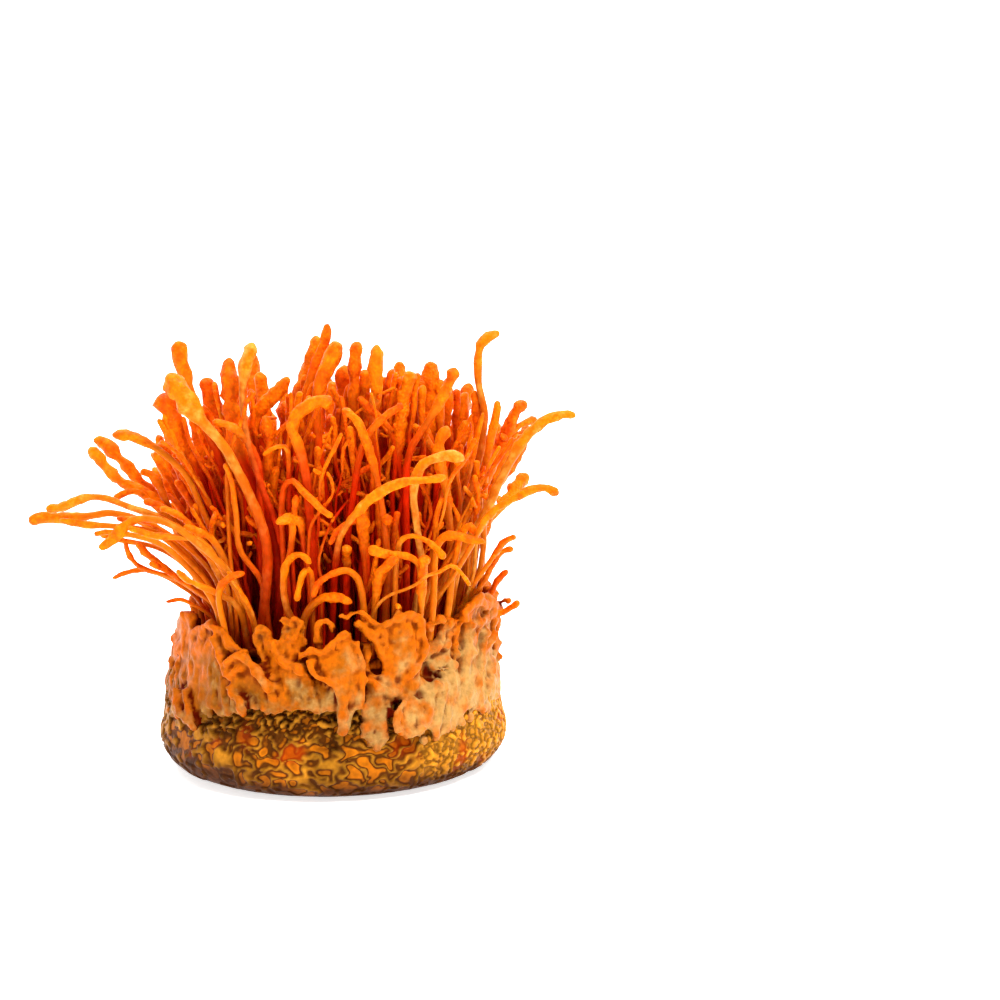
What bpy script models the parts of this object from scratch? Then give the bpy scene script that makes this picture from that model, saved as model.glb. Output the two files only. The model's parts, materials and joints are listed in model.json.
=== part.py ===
"""Cordyceps bunch: orange club-tipped fruiting bodies on their grown rice block.

Frame: metres, +Z up, origin at the centre of the block's flat underside, front towards -Y.
The sizes below are millimetres, and become metres where a mesh is made.
A bearing is an angle round the block, 0 at the front and growing towards +X.
"""

import math

import bpy
import bmesh
import numpy as np
from mathutils import Matrix, Vector

MM = 0.001

# The rice block, as it comes out of its round culture bottle.
BLOCK_RADIUS = 43.5
BLOCK_FOOT_RADIUS = 34.0
BLOCK_HEIGHT = 24.0
BLOCK_WAIST_HEIGHT = 12.0
BLOCK_WAIST_RADIUS = 42.5
BLOCK_TOP_RADIUS = 40.3
TURN_STEPS = 72

# The mycelium that caps the block: a flat floor inside a ragged crown of fleshy lobes.
REST_GAP = 0.3
SKIRT_GAP = 0.4
FLOOR_HEIGHT = 29.0
FLOOR_RADIUS = 33.4
ROOT_LIMIT = 31.0
ROOT_GAP = 0.5
CROWN_FOOT_RADIUS = 44.0
CROWN_LIP_RADIUS = 38.6
CROWN_WALL = 3.4
VALLEY_HEIGHT = 33.5
HEM_HEIGHT = 19.0

# Stalks: rings of SIDES corners along a route, at these shares of its length.
SIDES = 5
RING_SHARES = (0.0, 0.09, 0.23, 0.39, 0.55, 0.70, 0.83, 0.94, 1.0)
STEM_WEIGHT = (1.25, 1.1, 1.0, 1.0, 1.0, 0.55, 0.0, 0.0, 0.0)
CLUB_WEIGHT = (0.0, 0.0, 0.0, 0.0, 0.0, 0.45, 1.0, 0.95, 0.45)

# A tuft: a low foot of TUFT_COLUMNS by TUFT_ROWS cells, with one stalk grown from each.
TUFT_COLUMNS = 3
TUFT_ROWS = 3
TUFT_CELL = 2.3
TUFT_FOOT_HEIGHT = 1.6
TUFT_LEAN = 0.33
TUFT_FAN = 1.5
TUFT_DROP = 30.0
TUFT_SWAY = 5.5
TUFT_BEND = 3.0
TUFT_CLUB = (1.2, 1.65)
TUFT_STEM = 0.95
TUFT_SHARES = (0.0, 0.2, 0.45, 0.7, 0.9, 1.0)
TUFT_STEM_WEIGHT = (1.1, 1.0, 1.0, 0.4, 0.0, 0.0)
TUFT_CLUB_WEIGHT = (0.0, 0.0, 0.0, 0.6, 1.0, 0.45)

# Keeping stalks apart: clearance, rounds of pushing, and points tested on each straight stretch.
CLEARANCE = 0.6
ROUNDS = 260
TESTS_PER_STRETCH = 6
NEIGHBOUR_REACH = 3.0
SEED = 11

# Where the routes of the front stalks are seen from. Their across and up are read on the plane
# through the block's axis, and a stalk that stands in front of that plane is slid along the sight line.
EYE = Vector((42.0, -523.0, 150.0))

COLOURS = {
    "rice": (0.42, 0.22, 0.05, 1.0),
    "mycelium": (0.80, 0.36, 0.09, 1.0),
    "stalk": (0.82, 0.20, 0.01, 1.0),
}

# Lobes of the crown: bearing, half-width in degrees, height of the lobe's top, outward bulge, height of its hem.
LOBES = (
    (-97, 14, 38.0, 0.6, 17.0),
    (-74, 15, 39.0, 0.8, 15.0),
    (-51, 17, 43.5, 1.2, 17.5),
    (-33, 12, 41.0, 1.0, 18.0),
    (-17, 9, 43.0, 0.4, 20.0),
    (-5, 8, 43.0, 0.2, 18.0),
    (7, 10, 39.5, 2.2, 14.5),
    (23, 14, 45.5, 0.6, 16.5),
    (41, 10, 43.0, 1.2, 14.0),
    (62, 17, 48.0, 1.8, 17.5),
    (89, 15, 45.0, 1.6, 16.0),
    (113, 14, 41.5, 1.0, 18.0),
    (137, 15, 45.0, 1.2, 15.5),
    (160, 12, 40.5, 1.0, 17.0),
    (181, 14, 44.0, 1.4, 16.0),
    (204, 13, 41.0, 0.8, 17.5),
    (226, 14, 44.5, 1.2, 15.0),
    (246, 12, 40.0, 0.8, 18.0),
)

# Front stalks: root across and behind the axis plane, stem and club radius, and the route above the root as
# (across, up, behind the axis plane).
FRONT_STALKS = {
    "great_curve": (
        (-17.5, -25.0), 1.5, 2.5,
        ((-17.6, 38, -26), (-16.2, 47, -27), (-17.0, 56, -28), (-20.2, 66.5, -29), (-25, 76.5, -30),
         (-31, 84.5, -31), (-37, 92.5, -31), (-40.0, 97.5, -31)),
    ),
    "tall_left": (
        (-20.0, -14.0), 1.1, 1.5,
        ((-21, 50, -15), (-25, 68, -17), (-31, 84, -19), (-35.5, 95, -21), (-37, 101, -21), (-37.2, 105.5, -21)),
    ),
    "blunt_left": (
        (-25.0, -9.0), 1.5, 2.0,
        ((-27, 50, -11), (-31, 65, -13), (-36, 77, -15), (-39.5, 86, -16), (-42, 92.5, -16)),
    ),
    "club_left": (
        (-14.0, -16.0), 1.2, 1.5,
        ((-15, 50, -16), (-19, 68, -16), (-25, 83, -16), (-29, 90, -16), (-31, 96.3, -16)),
    ),
    "knobbed": (
        (-11.5, -21.0), 1.4, 2.0,
        ((-12, 50, -21), (-16.5, 66, -21), (-21.5, 78, -21), (-24, 90, -20), (-25, 101.5, -20)),
    ),
    "pale_upright": (
        (-10.0, -27.5), 1.0, 1.7,
        ((-11, 48, -27), (-15.0, 62, -27), (-19.5, 76, -27), (-22, 88, -27), (-21.5, 98, -27), (-18.8, 105.3, -27)),
    ),
    "crook": (
        (-5.5, -19.0), 1.2, 1.4,
        ((-9, 50, -18), (-15, 66, -17), (-20.5, 80, -16), (-18.5, 87, -16), (-14, 92, -16), (-10.3, 96.6, -16)),
    ),
    "peak": (
        (0.5, -13.5), 1.0, 1.1,
        ((-1.5, 50, -13.5), (-6, 70, -14), (-8, 86, -14), (-4.8, 97, -14), (-1.4, 105, -14), (-0.2, 110, -14)),
    ),
    "broad_left_of_peak": (
        (-4.5, -8.0), 1.7, 2.1,
        ((-7, 50, -8), (-10.5, 70, -8), (-9.5, 86, -8), (-6, 96, -8), (-3, 107, -8)),
    ),
    "broad_right_of_peak": (
        (4.5, -18.5), 1.5, 2.0,
        ((2, 50, -19), (-2, 70, -19), (-3.5, 86, -19), (-1.5, 97, -19), (2.5, 105.5, -19)),
    ),
    "arch_left": (
        (-3.0, -27.0), 1.2, 1.3,
        ((-5, 48, -28), (-5.5, 62, -29), (-6.5, 74, -30), (-9.5, 82, -31), (-8.5, 88.5, -31), (-4, 90.5, -31),
         (0.2, 89.8, -31)),
    ),
    "arch_right": (
        (14.0, -27.0), 1.1, 1.3,
        ((14, 48, -28), (12.5, 62, -29), (10.5, 75, -30), (8, 83.5, -31), (5.5, 86.5, -31), (2.8, 88.2, -31)),
    ),
    "top_mid": (
        (8.0, -6.5), 1.4, 1.8,
        ((5, 55, -6), (3, 75, -7), (2.7, 90, -7), (3.5, 99.5, -7)),
    ),
    "twin_left": (
        (9.0, -12.5), 1.3, 1.5,
        ((8, 55, -12), (6, 75, -12.5), (5.5, 92, -13), (7.3, 105, -13)),
    ),
    "twin_right": (
        (13.0, -18.0), 1.3, 1.7,
        ((12, 55, -17), (10.5, 75, -18), (10.8, 92, -18.5), (11.3, 104.5, -19)),
    ),
    "thin_top": (
        (15.5, -9.0), 1.2, 1.5,
        ((15.5, 55, -9), (15, 78, -9), (15.4, 98.5, -9.5)),
    ),
    "round_top": (
        (19.5, -14.0), 1.4, 1.8,
        ((18, 55, -14), (17, 78, -14), (18, 92, -14), (20.5, 98, -14)),
    ),
    "blunt_top": (
        (23.0, -6.0), 1.7, 2.1,
        ((22.5, 55, -6), (23.5, 78, -6.5), (25, 100.5, -7)),
    ),
    "slanting": (
        (19.5, -22.0), 1.0, 1.2,
        ((18.5, 50, -22), (18.5, 68, -23), (21, 82, -24), (27, 89, -24.5), (31, 99, -25)),
    ),
    "elbowed": (
        (27.0, -13.0), 0.9, 1.2,
        ((31, 52, -13), (36, 70, -14), (38.6, 84, -15), (37, 95, -15), (36, 103, -15), (38.5, 105.5, -15.5),
         (42.2, 107.8, -16)),
    ),
    "right_finger_high": (
        (28.5, -7.5), 1.3, 1.7,
        ((33, 50, -8), (37.5, 66, -9), (41.5, 78, -10), (45, 86.5, -11), (49, 90, -12)),
    ),
    "right_finger_short": (
        (26.0, 1.0), 1.4, 1.7,
        ((31, 52, 0), (36.5, 70, -1), (41.5, 85.7, -2)),
    ),
    "right_finger_low": (
        (30.0, -2.0), 1.2, 1.7,
        ((34, 48, -3), (38, 62, -5), (42, 74, -5), (45, 79.5, -5), (49.6, 81.6, -5)),
    ),
    "right_long": (
        (26.0, -18.5), 1.2, 1.3,
        ((33, 47, -20), (39, 58, -21), (43.5, 69, -22), (47, 77, -22), (51.5, 83.5, -22), (56, 87, -22),
         (61, 86.6, -22)),
    ),
    "right_low": (
        (24.0, -22.5), 0.9, 1.1,
        ((33, 47, -27), (38, 56, -28), (42, 64, -28), (48, 66.5, -28), (52, 68.8, -28), (56.8, 67, -28)),
    ),
    "pale_bar": (
        (22.0, -26.0), 1.2, 1.4,
        ((22.5, 48, -28), (21, 60, -31), (20.5, 70, -34), (23.5, 75, -35), (28, 76.6, -35.5), (33.2, 76, -36)),
    ),
    "low_bar": (
        (1.0, -22.5), 1.1, 1.4,
        ((0.5, 47, -27), (1.5, 55, -32), (5, 61, -35), (10, 66.5, -36.5), (17, 70.3, -37), (24, 71, -37),
         (28.3, 72, -37)),
    ),
    "club_right": (
        (28.0, -12.5), 1.1, 1.5,
        ((30, 50, -18), (29.5, 66, -24), (26.5, 78, -25), (28.5, 84.2, -25)),
    ),
    "left_finger_low": (
        (-28.0, -8.0), 1.1, 1.4,
        ((-31, 45, -10), (-37, 57, -11), (-45, 66, -12), (-52, 70, -12), (-57, 75.5, -12), (-60, 79, -12)),
    ),
    "left_finger_high": (
        (-28.5, -2.0), 1.1, 1.4,
        ((-32, 46, -4), (-38, 59, -5), (-46, 68.5, -6), (-52, 75.5, -6), (-56, 79.8, -6), (-59, 81.2, -6)),
    ),
    "left_hook": (
        (-24.5, -18.0), 1.0, 1.2,
        ((-27, 48, -20), (-31, 60, -22), (-36, 72, -23), (-42, 77.5, -23), (-47, 80.5, -23), (-50.5, 82.3, -23),
         (-54.6, 82.4, -23)),
    ),
    "far_left_low": (
        (-27.0, -13.0), 1.1, 1.5,
        ((-30, 43, -17), (-36, 51, -19), (-45, 59, -20), (-54, 62.2, -20), (-64, 61.3, -20), (-71, 61.5, -20),
         (-75.6, 60.5, -20)),
    ),
    "far_left_high": (
        (-22.5, -22.0), 1.0, 1.5,
        ((-27, 45, -25), (-34, 54.5, -27), (-43, 61.5, -27), (-54, 65, -26.5), (-61, 66.4, -26), (-66, 64.3, -25),
         (-71.5, 63.6, -24)),
    ),
    "left_droop": (
        (-20.0, -28.0), 1.0, 1.4,
        ((-24, 43, -31), (-30, 51, -33), (-38, 58, -34), (-46, 62.2, -34), (-51, 59.5, -34), (-55, 56, -34),
         (-58.3, 53.5, -34)),
    ),
}

# Stalks round the back and sides: root bearing, root radius, tip bearing, tip radius, tip height, stem and
# club radius.
BACK_STALKS = (
    (98, 27.0, 96, 50.0, 84.0, 1.2, 1.7),
    (112, 29.0, 117, 55.0, 69.0, 1.0, 1.4),
    (128, 26.0, 126, 43.0, 96.0, 1.4, 1.9),
    (143, 29.0, 148, 53.0, 79.0, 1.1, 1.5),
    (159, 25.0, 155, 38.0, 103.0, 1.3, 1.8),
    (174, 29.0, 179, 56.0, 66.0, 1.0, 1.4),
    (188, 26.0, 186, 45.0, 92.0, 1.4, 1.9),
    (203, 29.0, 208, 52.0, 82.0, 1.1, 1.5),
    (219, 25.0, 217, 39.0, 100.0, 1.3, 1.8),
    (234, 29.0, 240, 57.0, 70.0, 1.0, 1.4),
    (250, 26.0, 252, 46.0, 90.0, 1.3, 1.8),
)

# Tufts fill the middle: foot centre across and behind the axis plane, and height of the tallest tip.
TUFTS = (
    (-20.0, 0.0, 92.0),
    (-10.5, 2.5, 99.0),
    (1.0, 0.5, 96.0),
    (12.5, 3.5, 94.0),
    (21.0, 9.5, 90.0),
    (-16.0, 12.0, 94.0),
    (-4.0, 12.5, 100.0),
    (8.5, 14.5, 97.0),
    (-9.0, 22.0, 91.0),
    (4.5, 24.0, 94.0),
    (16.5, 20.5, 89.0),
    (-12.5, -8.5, 96.0),
    (20.5, -0.8, 91.0),
)


def at_bearing(bearing, radius):
    """Across and behind the axis plane of a point at this bearing in degrees and this radius."""
    turn = math.radians(bearing)
    return radius * math.sin(turn), -radius * math.cos(turn)


def along_sight(across, up, behind):
    """The place, this far behind the axis plane, that is seen at across and up on that plane."""
    share = (behind - EYE.y) / -EYE.y
    return Vector((EYE.x + (across - EYE.x) * share, behind, EYE.z + (up - EYE.z) * share))


def block_radius(height):
    """Radius of the block's side above its waist, where it is a plain cone under the mycelium."""
    share = (height - BLOCK_WAIST_HEIGHT) / (BLOCK_HEIGHT - BLOCK_WAIST_HEIGHT)
    return BLOCK_WAIST_RADIUS + share * (BLOCK_TOP_RADIUS - BLOCK_WAIST_RADIUS)


def lobe_sum(bearing):
    """Height of the crown, outward bulge and height of the hem at a bearing in degrees."""
    top, bulge, hem = VALLEY_HEIGHT, -1.2, HEM_HEIGHT
    for centre, half_width, lobe_top, lobe_bulge, lobe_hem in LOBES:
        off = abs((bearing - centre + 180) % 360 - 180) / half_width
        if off < 1:
            rise = (1 - off * off) ** 0.8
            top = max(top, VALLEY_HEIGHT + (lobe_top - VALLEY_HEIGHT) * rise)
            bulge = max(bulge, -1.2 + (lobe_bulge + 1.2) * rise)
            hem = min(hem, HEM_HEIGHT + (lobe_hem - HEM_HEIGHT) * rise)
    ragged = 0.7 * math.sin(math.radians(31 * bearing)) + 0.5 * math.sin(math.radians(13 * bearing + 40))
    return top + ragged, bulge, hem + 0.6 * ragged


def crown_lip(bearing):
    """Radius and height of the crown's inner lip at a bearing in degrees."""
    top, bulge, _ = lobe_sum(bearing)
    return CROWN_LIP_RADIUS + bulge - CROWN_WALL, top


def block_rings():
    """Rings of the block from its underside to its top, each a function from bearing to (radius, height)."""
    side = (
        (BLOCK_FOOT_RADIUS, 0.0, 0.0),
        (39.2, 1.2, 0.3),
        (42.3, 4.0, 0.5),
        (BLOCK_RADIUS, 8.0, 0.4),
        (BLOCK_WAIST_RADIUS, BLOCK_WAIST_HEIGHT, 0.0),
        (BLOCK_TOP_RADIUS, BLOCK_HEIGHT, 0.0),
    )

    def ring(radius, height, lump):
        return lambda bearing: (
            radius + lump * math.sin(math.radians(7 * bearing) + height) * math.cos(math.radians(5 * bearing)),
            height,
        )

    return [ring(*row) for row in side]


def mat_rings():
    """Rings of the mycelium, from its flat underside out over the skirt and crown and in to the floor."""

    def under(_):
        return block_radius(BLOCK_HEIGHT) + SKIRT_GAP - 0.6, BLOCK_HEIGHT + REST_GAP

    def shoulder(_):
        return block_radius(BLOCK_HEIGHT) + SKIRT_GAP, BLOCK_HEIGHT + REST_GAP - 0.2

    def hem_inside(bearing):
        hem = lobe_sum(bearing)[2]
        return block_radius(hem) + SKIRT_GAP, hem

    def hem_outside(bearing):
        _, bulge, hem = lobe_sum(bearing)
        return block_radius(hem) + SKIRT_GAP + 1.5 + 0.3 * bulge, hem + 0.6

    def foot(bearing):
        _, bulge, hem = lobe_sum(bearing)
        fold = 0.5 * math.sin(math.radians(23 * bearing))
        return CROWN_FOOT_RADIUS - 1.0 + 0.7 * bulge + fold, hem + 6.0

    def outer_wall(bearing):
        top, bulge, _ = lobe_sum(bearing)
        fold = 0.7 * math.sin(math.radians(23 * bearing + 60))
        return CROWN_LIP_RADIUS + 1.7 + bulge + fold, 0.35 * FLOOR_HEIGHT + 0.65 * top - 1.0

    def outer_lip(bearing):
        top, bulge, _ = lobe_sum(bearing)
        return CROWN_LIP_RADIUS + 1.0 + bulge, top - 0.8

    def inner_lip(bearing):
        radius, top = crown_lip(bearing)
        return radius + 0.4, top

    def floor_edge(_):
        return FLOOR_RADIUS, FLOOR_HEIGHT

    return [under, shoulder, hem_inside, hem_outside, foot, outer_wall, outer_lip, inner_lip, floor_edge]


def raise_face(bm, face, keep=False):
    """Extrudes one face and returns the new one, with the matching of its corners to the old one's.

    The old face is kept only where it closes the solid from below.
    """
    old = list(face.verts)
    before = [vert.co.copy() for vert in old]
    grown = bmesh.ops.extrude_face_region(bm, geom=[face])["geom"]
    new = next(item for item in grown if isinstance(item, bmesh.types.BMFace))
    match = [min(range(len(before)), key=lambda k: (before[k] - vert.co).length_squared) for vert in new.verts]
    if not keep:
        bm.faces.remove(face)
    return new, match


def stack_rings(rings):
    """A closed solid grown ring by ring from a capped circle."""
    bm = bmesh.new()
    bmesh.ops.create_circle(bm, cap_ends=True, segments=TURN_STEPS, radius=1.0)
    face = bm.faces[:][0]
    bearings = [math.degrees(math.atan2(vert.co.x, -vert.co.y)) for vert in face.verts]
    for step, ring in enumerate(rings):
        if step:
            face, match = raise_face(bm, face, keep=step == 1)
            bearings = [bearings[k] for k in match]
        for vert, bearing in zip(face.verts, bearings):
            radius, height = ring(bearing)
            vert.co = Vector((*at_bearing(bearing, radius), height))
    return bm


def smooth_route(points, shares):
    """Places at these shares of the length of a smooth curve through the points."""
    padded = [2 * points[0] - points[1], *points, 2 * points[-1] - points[-2]]
    dense = []
    for a, b, c, d in zip(padded, padded[1:], padded[2:], padded[3:]):
        for step in range(12):
            t = step / 12
            dense.append(
                0.5 * ((2 * b) + (c - a) * t + (2 * a - 5 * b + 4 * c - d) * t * t + (3 * b - a - 3 * c + d) * t**3)
            )
    dense.append(points[-1].copy())
    line = np.array(dense)
    run = np.concatenate([[0.0], np.cumsum(np.linalg.norm(np.diff(line, axis=0), axis=1))])
    return np.stack([np.interp(np.array(shares) * run[-1], run, line[:, k]) for k in range(3)], axis=1)


def settle_roots(wanted, sizes, feet):
    """Root places near the wanted ones that clear each other, the tufts' feet and the crown's wall."""
    places = np.array(wanted, float)
    sizes = np.array(sizes)
    half = np.array([TUFT_COLUMNS * TUFT_CELL / 2, TUFT_ROWS * TUFT_CELL / 2])
    for _ in range(400):
        for one in range(len(places)):
            gap = places[one] - places
            distance = np.hypot(gap[:, 0], gap[:, 1])
            distance[one] = np.inf
            short = sizes[one] + sizes + ROOT_GAP - distance
            for other in np.nonzero(short > 0)[0]:
                push = gap[other] / max(distance[other], 1e-6) * short[other] * 0.5
                places[one] += push
                places[other] -= push
            for foot in feet:
                off = places[one] - np.array(foot)
                edge = np.clip(off, -half, half)
                away = off - edge
                reach = np.hypot(*away)
                need = sizes[one] + ROOT_GAP
                if reach < 1e-6:
                    side = np.argmin(half - np.abs(off))
                    places[one][side] += np.copysign(half[side] - abs(off[side]) + need, off[side])
                elif reach < need:
                    places[one] += away / reach * (need - reach)
            radius = np.hypot(*places[one])
            limit = ROOT_LIMIT + ROOT_GAP - (sizes[one] - 1.0)
            if radius > limit:
                places[one] *= limit / radius
    return places


def front_route(root, route):
    """A front stalk's rings, from its root on the floor along its route as seen from the front."""
    start = Vector((*root, FLOOR_HEIGHT + REST_GAP))
    points = [start, start + Vector((0, 0, 5))]
    points += [along_sight(*place) for place in route]
    return smooth_route(points, RING_SHARES)


def back_route(root, tip_bearing, tip_radius, tip_height):
    """A back stalk's rings: upright at its root, then leaning out over the crown to its tip."""
    start = Vector((*root, FLOOR_HEIGHT + REST_GAP))
    tip = Vector((*at_bearing(tip_bearing, tip_radius), tip_height))
    knee = start + Vector((0, 0, 12))
    middle = start.lerp(tip, 0.55) + Vector((0, 0, 6))
    return smooth_route([start, knee, middle, tip], RING_SHARES)


def tuft_cells(foot):
    """Centres of a tuft's cells on top of its foot."""
    return [
        Vector((
            foot[0] + (column - (TUFT_COLUMNS - 1) / 2) * TUFT_CELL,
            foot[1] + (row - (TUFT_ROWS - 1) / 2) * TUFT_CELL,
            FLOOR_HEIGHT + REST_GAP + TUFT_FOOT_HEIGHT,
        ))
        for row in range(TUFT_ROWS)
        for column in range(TUFT_COLUMNS)
    ]


def sideways(most, chance):
    """A random level shift of up to this much across and up to this much behind."""
    return Vector((chance.uniform(-most, most), chance.uniform(-most, most), 0))


def tuft_routes(foot, tallest, chance):
    """Rings of each stalk of a tuft, fanned out from the block's axis and from the tuft's own middle."""
    middle = Vector((foot[0], foot[1], 0))
    routes = []
    for start in tuft_cells(foot):
        apart = Vector((start.x, start.y, 0)) - middle
        height = tallest - chance.uniform(0, TUFT_DROP)
        lean = Vector((start.x, start.y, 0)) * TUFT_LEAN + apart * TUFT_FAN
        tip = Vector((start.x, start.y, height)) + lean + sideways(TUFT_SWAY, chance)
        bend = start.lerp(tip, 0.5) - lean * 0.15 + sideways(TUFT_BEND, chance)
        routes.append(smooth_route([start, start + Vector((0, 0, 7)) + apart * 0.4, bend, tip], TUFT_SHARES))
    return routes


class Thicket:
    """All the stalks' rings, and the rounds of pushing that part the ones that cross."""

    def __init__(self):
        self.centres = []
        self.radii = []
        self.freedom = []
        self.spans = []
        self.clump = []

    def add(self, rings, radii, freedom, clump):
        """Adds one stalk and returns its number. Stalks of one clump may touch in their first stretch."""
        first = len(self.centres)
        self.centres += [tuple(ring) for ring in rings]
        self.radii += list(radii)
        self.freedom += [0.0, 0.35 * freedom] + [freedom] * (len(rings) - 2)
        self.spans.append((first, first + len(rings)))
        self.clump.append(clump)
        return len(self.spans) - 1

    def rings(self, number):
        """Ring centres and radii of one stalk."""
        first, end = self.spans[number]
        return self.centres[first:end], self.radii[first:end]

    def tests(self):
        """Points tested along every stretch: the ring below, the share towards the next, stalk, clump."""
        rows = []
        for stalk, (first, end) in enumerate(self.spans):
            for ring in range(first, end - 1):
                in_foot = ring == first
                for step in range(TESTS_PER_STRETCH):
                    share = (step + 0.5) / TESTS_PER_STRETCH
                    rows.append((ring, share, stalk, self.clump[stalk] if in_foot else -1 - stalk))
        return np.array(rows)

    def part(self):
        """Pushes crossing stalks apart, keeps their bends, and holds them inside or above the crown."""
        centres = np.array(self.centres)
        radii = np.array(self.radii)
        freedom = np.array(self.freedom)
        rows = self.tests()
        low = rows[:, 0].astype(int)
        share = rows[:, 1]
        stalk = rows[:, 2].astype(int)
        clump = rows[:, 3].astype(int)
        reach = radii[low] * (1 - share) + radii[low + 1] * share
        inner = np.ones(len(centres), bool)
        for first, end in self.spans:
            inner[first] = False
            inner[end - 1] = False
        index = np.nonzero(inner)[0]
        bend = centres[index] - (centres[index - 1] + centres[index + 1]) / 2
        pairs = None
        for turn in range(ROUNDS):
            places = centres[low] * (1 - share)[:, None] + centres[low + 1] * share[:, None]
            if turn % 8 == 0:
                pairs = near_pairs(places, reach, stalk, clump)
            one, other = pairs
            gap = places[one] - places[other]
            distance = np.maximum(np.linalg.norm(gap, axis=1), 1e-6)
            short = reach[one] + reach[other] + CLEARANCE - distance
            hit = short > 0
            push = gap[hit] / distance[hit, None] * short[hit, None] * 0.5
            move = np.zeros_like(places)
            count = np.zeros(len(places))
            np.add.at(move, one[hit], push)
            np.add.at(move, other[hit], -push)
            np.add.at(count, one[hit], 1)
            np.add.at(count, other[hit], 1)
            move /= np.maximum(count, 1)[:, None]
            held = crown_push(places + move, reach)
            move += held
            ring_move = np.zeros_like(centres)
            ring_weight = np.full(len(centres), 1e-9)
            touched = (count > 0) | (np.abs(held).sum(axis=1) > 0)
            for ring, weight in ((low, 1 - share), (low + 1, share)):
                np.add.at(ring_move, ring[touched], move[touched] * weight[touched, None])
                np.add.at(ring_weight, ring[touched], weight[touched] ** 2)
            centres += ring_move / np.maximum(ring_weight, 0.5)[:, None] * freedom[:, None]
            if turn < ROUNDS * 0.8:
                now = centres[index] - (centres[index - 1] + centres[index + 1]) / 2
                centres[index] += 0.12 * (bend - now) * freedom[index, None]
        self.centres = [Vector(row) for row in centres]


def near_pairs(places, reach, stalk, clump):
    """Pairs of tested points on different stalks that may come within reach of each other."""
    square = (places**2).sum(axis=1)
    apart = square[:, None] + square[None, :] - 2 * places @ places.T
    limit = reach[:, None] + reach[None, :] + CLEARANCE + NEIGHBOUR_REACH
    near = (apart < limit**2) & (stalk[:, None] < stalk[None, :]) & (clump[:, None] != clump[None, :])
    return np.nonzero(near)


def crown_push(places, reach):
    """How far each tested point has to move to clear the crown: inwards inside it, upwards over its lip."""
    move = np.zeros_like(places)
    radius = np.hypot(places[:, 0], places[:, 1])
    bearing = np.degrees(np.arctan2(places[:, 0], -places[:, 1]))
    for k in np.nonzero((places[:, 2] < 52) & (radius > 27))[0]:
        lip_radius, lip_height = crown_lip(bearing[k])
        margin = reach[k] + CLEARANCE
        rise = min(max((places[k, 2] - FLOOR_HEIGHT) / (lip_height - FLOOR_HEIGHT), 0.0), 1.0)
        wall = FLOOR_RADIUS + (lip_radius - FLOOR_RADIUS) * rise
        over = lip_height + margin + 1.6 - places[k, 2]
        into = radius[k] - (wall - margin)
        if over > 0 and into > 0:
            if into < over or radius[k] < wall:
                move[k, :2] = -places[k, :2] / radius[k] * into
            else:
                move[k, 2] = over
    return move


def grow(bm, face, centres, radii, keep=False):
    """Extrudes a level face ring by ring along the centres, turning it to face along them."""
    origin = face.calc_center_median()
    corners = [(vert.co - origin).normalized() for vert in face.verts]
    frame = Matrix.Identity(3)
    here = Vector((0, 0, 1))
    places = [origin, *centres]
    for k in range(1, len(places)):
        back = (places[k] - places[k - 1]).normalized()
        ahead = (places[k + 1] - places[k]).normalized() if k + 1 < len(places) else back
        along = (back + ahead).normalized()
        frame = here.rotation_difference(along).to_matrix() @ frame
        here = along
        face, match = raise_face(bm, face, keep=keep and k == 1)
        corners = [corners[j] for j in match]
        for vert, corner in zip(face.verts, corners):
            vert.co = places[k] + frame @ corner * radii[k - 1]


def stalk_mesh(centres, radii):
    """One stalk: a capped ring at its root, grown along its route."""
    bm = bmesh.new()
    bmesh.ops.create_circle(bm, cap_ends=True, segments=SIDES, radius=radii[0])
    bmesh.ops.translate(bm, verts=bm.verts, vec=centres[0])
    grow(bm, bm.faces[:][0], centres[1:], radii[1:], keep=True)
    return bm


def tuft_mesh(foot, stalks):
    """One tuft: a gridded foot with a stalk grown from each of its cells."""
    bm = bmesh.new()
    bmesh.ops.create_grid(bm, x_segments=TUFT_COLUMNS, y_segments=TUFT_ROWS, size=0.5)
    size = Vector((TUFT_COLUMNS * TUFT_CELL, TUFT_ROWS * TUFT_CELL, 1))
    bmesh.ops.scale(bm, vec=size, verts=bm.verts)
    bmesh.ops.translate(bm, verts=bm.verts, vec=(foot[0], foot[1], FLOOR_HEIGHT + REST_GAP))
    grown = bmesh.ops.extrude_face_region(bm, geom=bm.faces[:])["geom"]
    top = [item for item in grown if isinstance(item, bmesh.types.BMFace)]
    lifted = [item for item in grown if isinstance(item, bmesh.types.BMVert)]
    bmesh.ops.translate(bm, verts=lifted, vec=(0, 0, TUFT_FOOT_HEIGHT))
    for centres, radii in stalks:
        cell = min(top, key=lambda item: (item.calc_center_median() - centres[0]).length)
        top.remove(cell)
        grow(bm, cell, centres[1:], radii[1:])
    return bm


def finish(name, bm, material):
    """Turns a mesh in millimetres into a smooth-shaded object in metres."""
    bmesh.ops.recalc_face_normals(bm, faces=bm.faces[:])
    bmesh.ops.scale(bm, vec=(MM, MM, MM), verts=bm.verts)
    mesh = bpy.data.meshes.new(name)
    bm.to_mesh(mesh)
    bm.free()
    mesh.shade_smooth()
    mesh.set_sharp_from_angle(angle=math.radians(50))
    mesh.materials.append(material)
    bpy.context.scene.collection.objects.link(bpy.data.objects.new(name, mesh))


def make_material(name, roughness):
    """A plain material in one of the fungus's colours."""
    material = bpy.data.materials.new(name)
    material.use_nodes = True
    shader = material.node_tree.nodes["Principled BSDF"]
    shader.inputs["Base Color"].default_value = COLOURS[name]
    shader.inputs["Roughness"].default_value = roughness
    shader.inputs["Metallic"].default_value = 0.0
    return material


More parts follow.
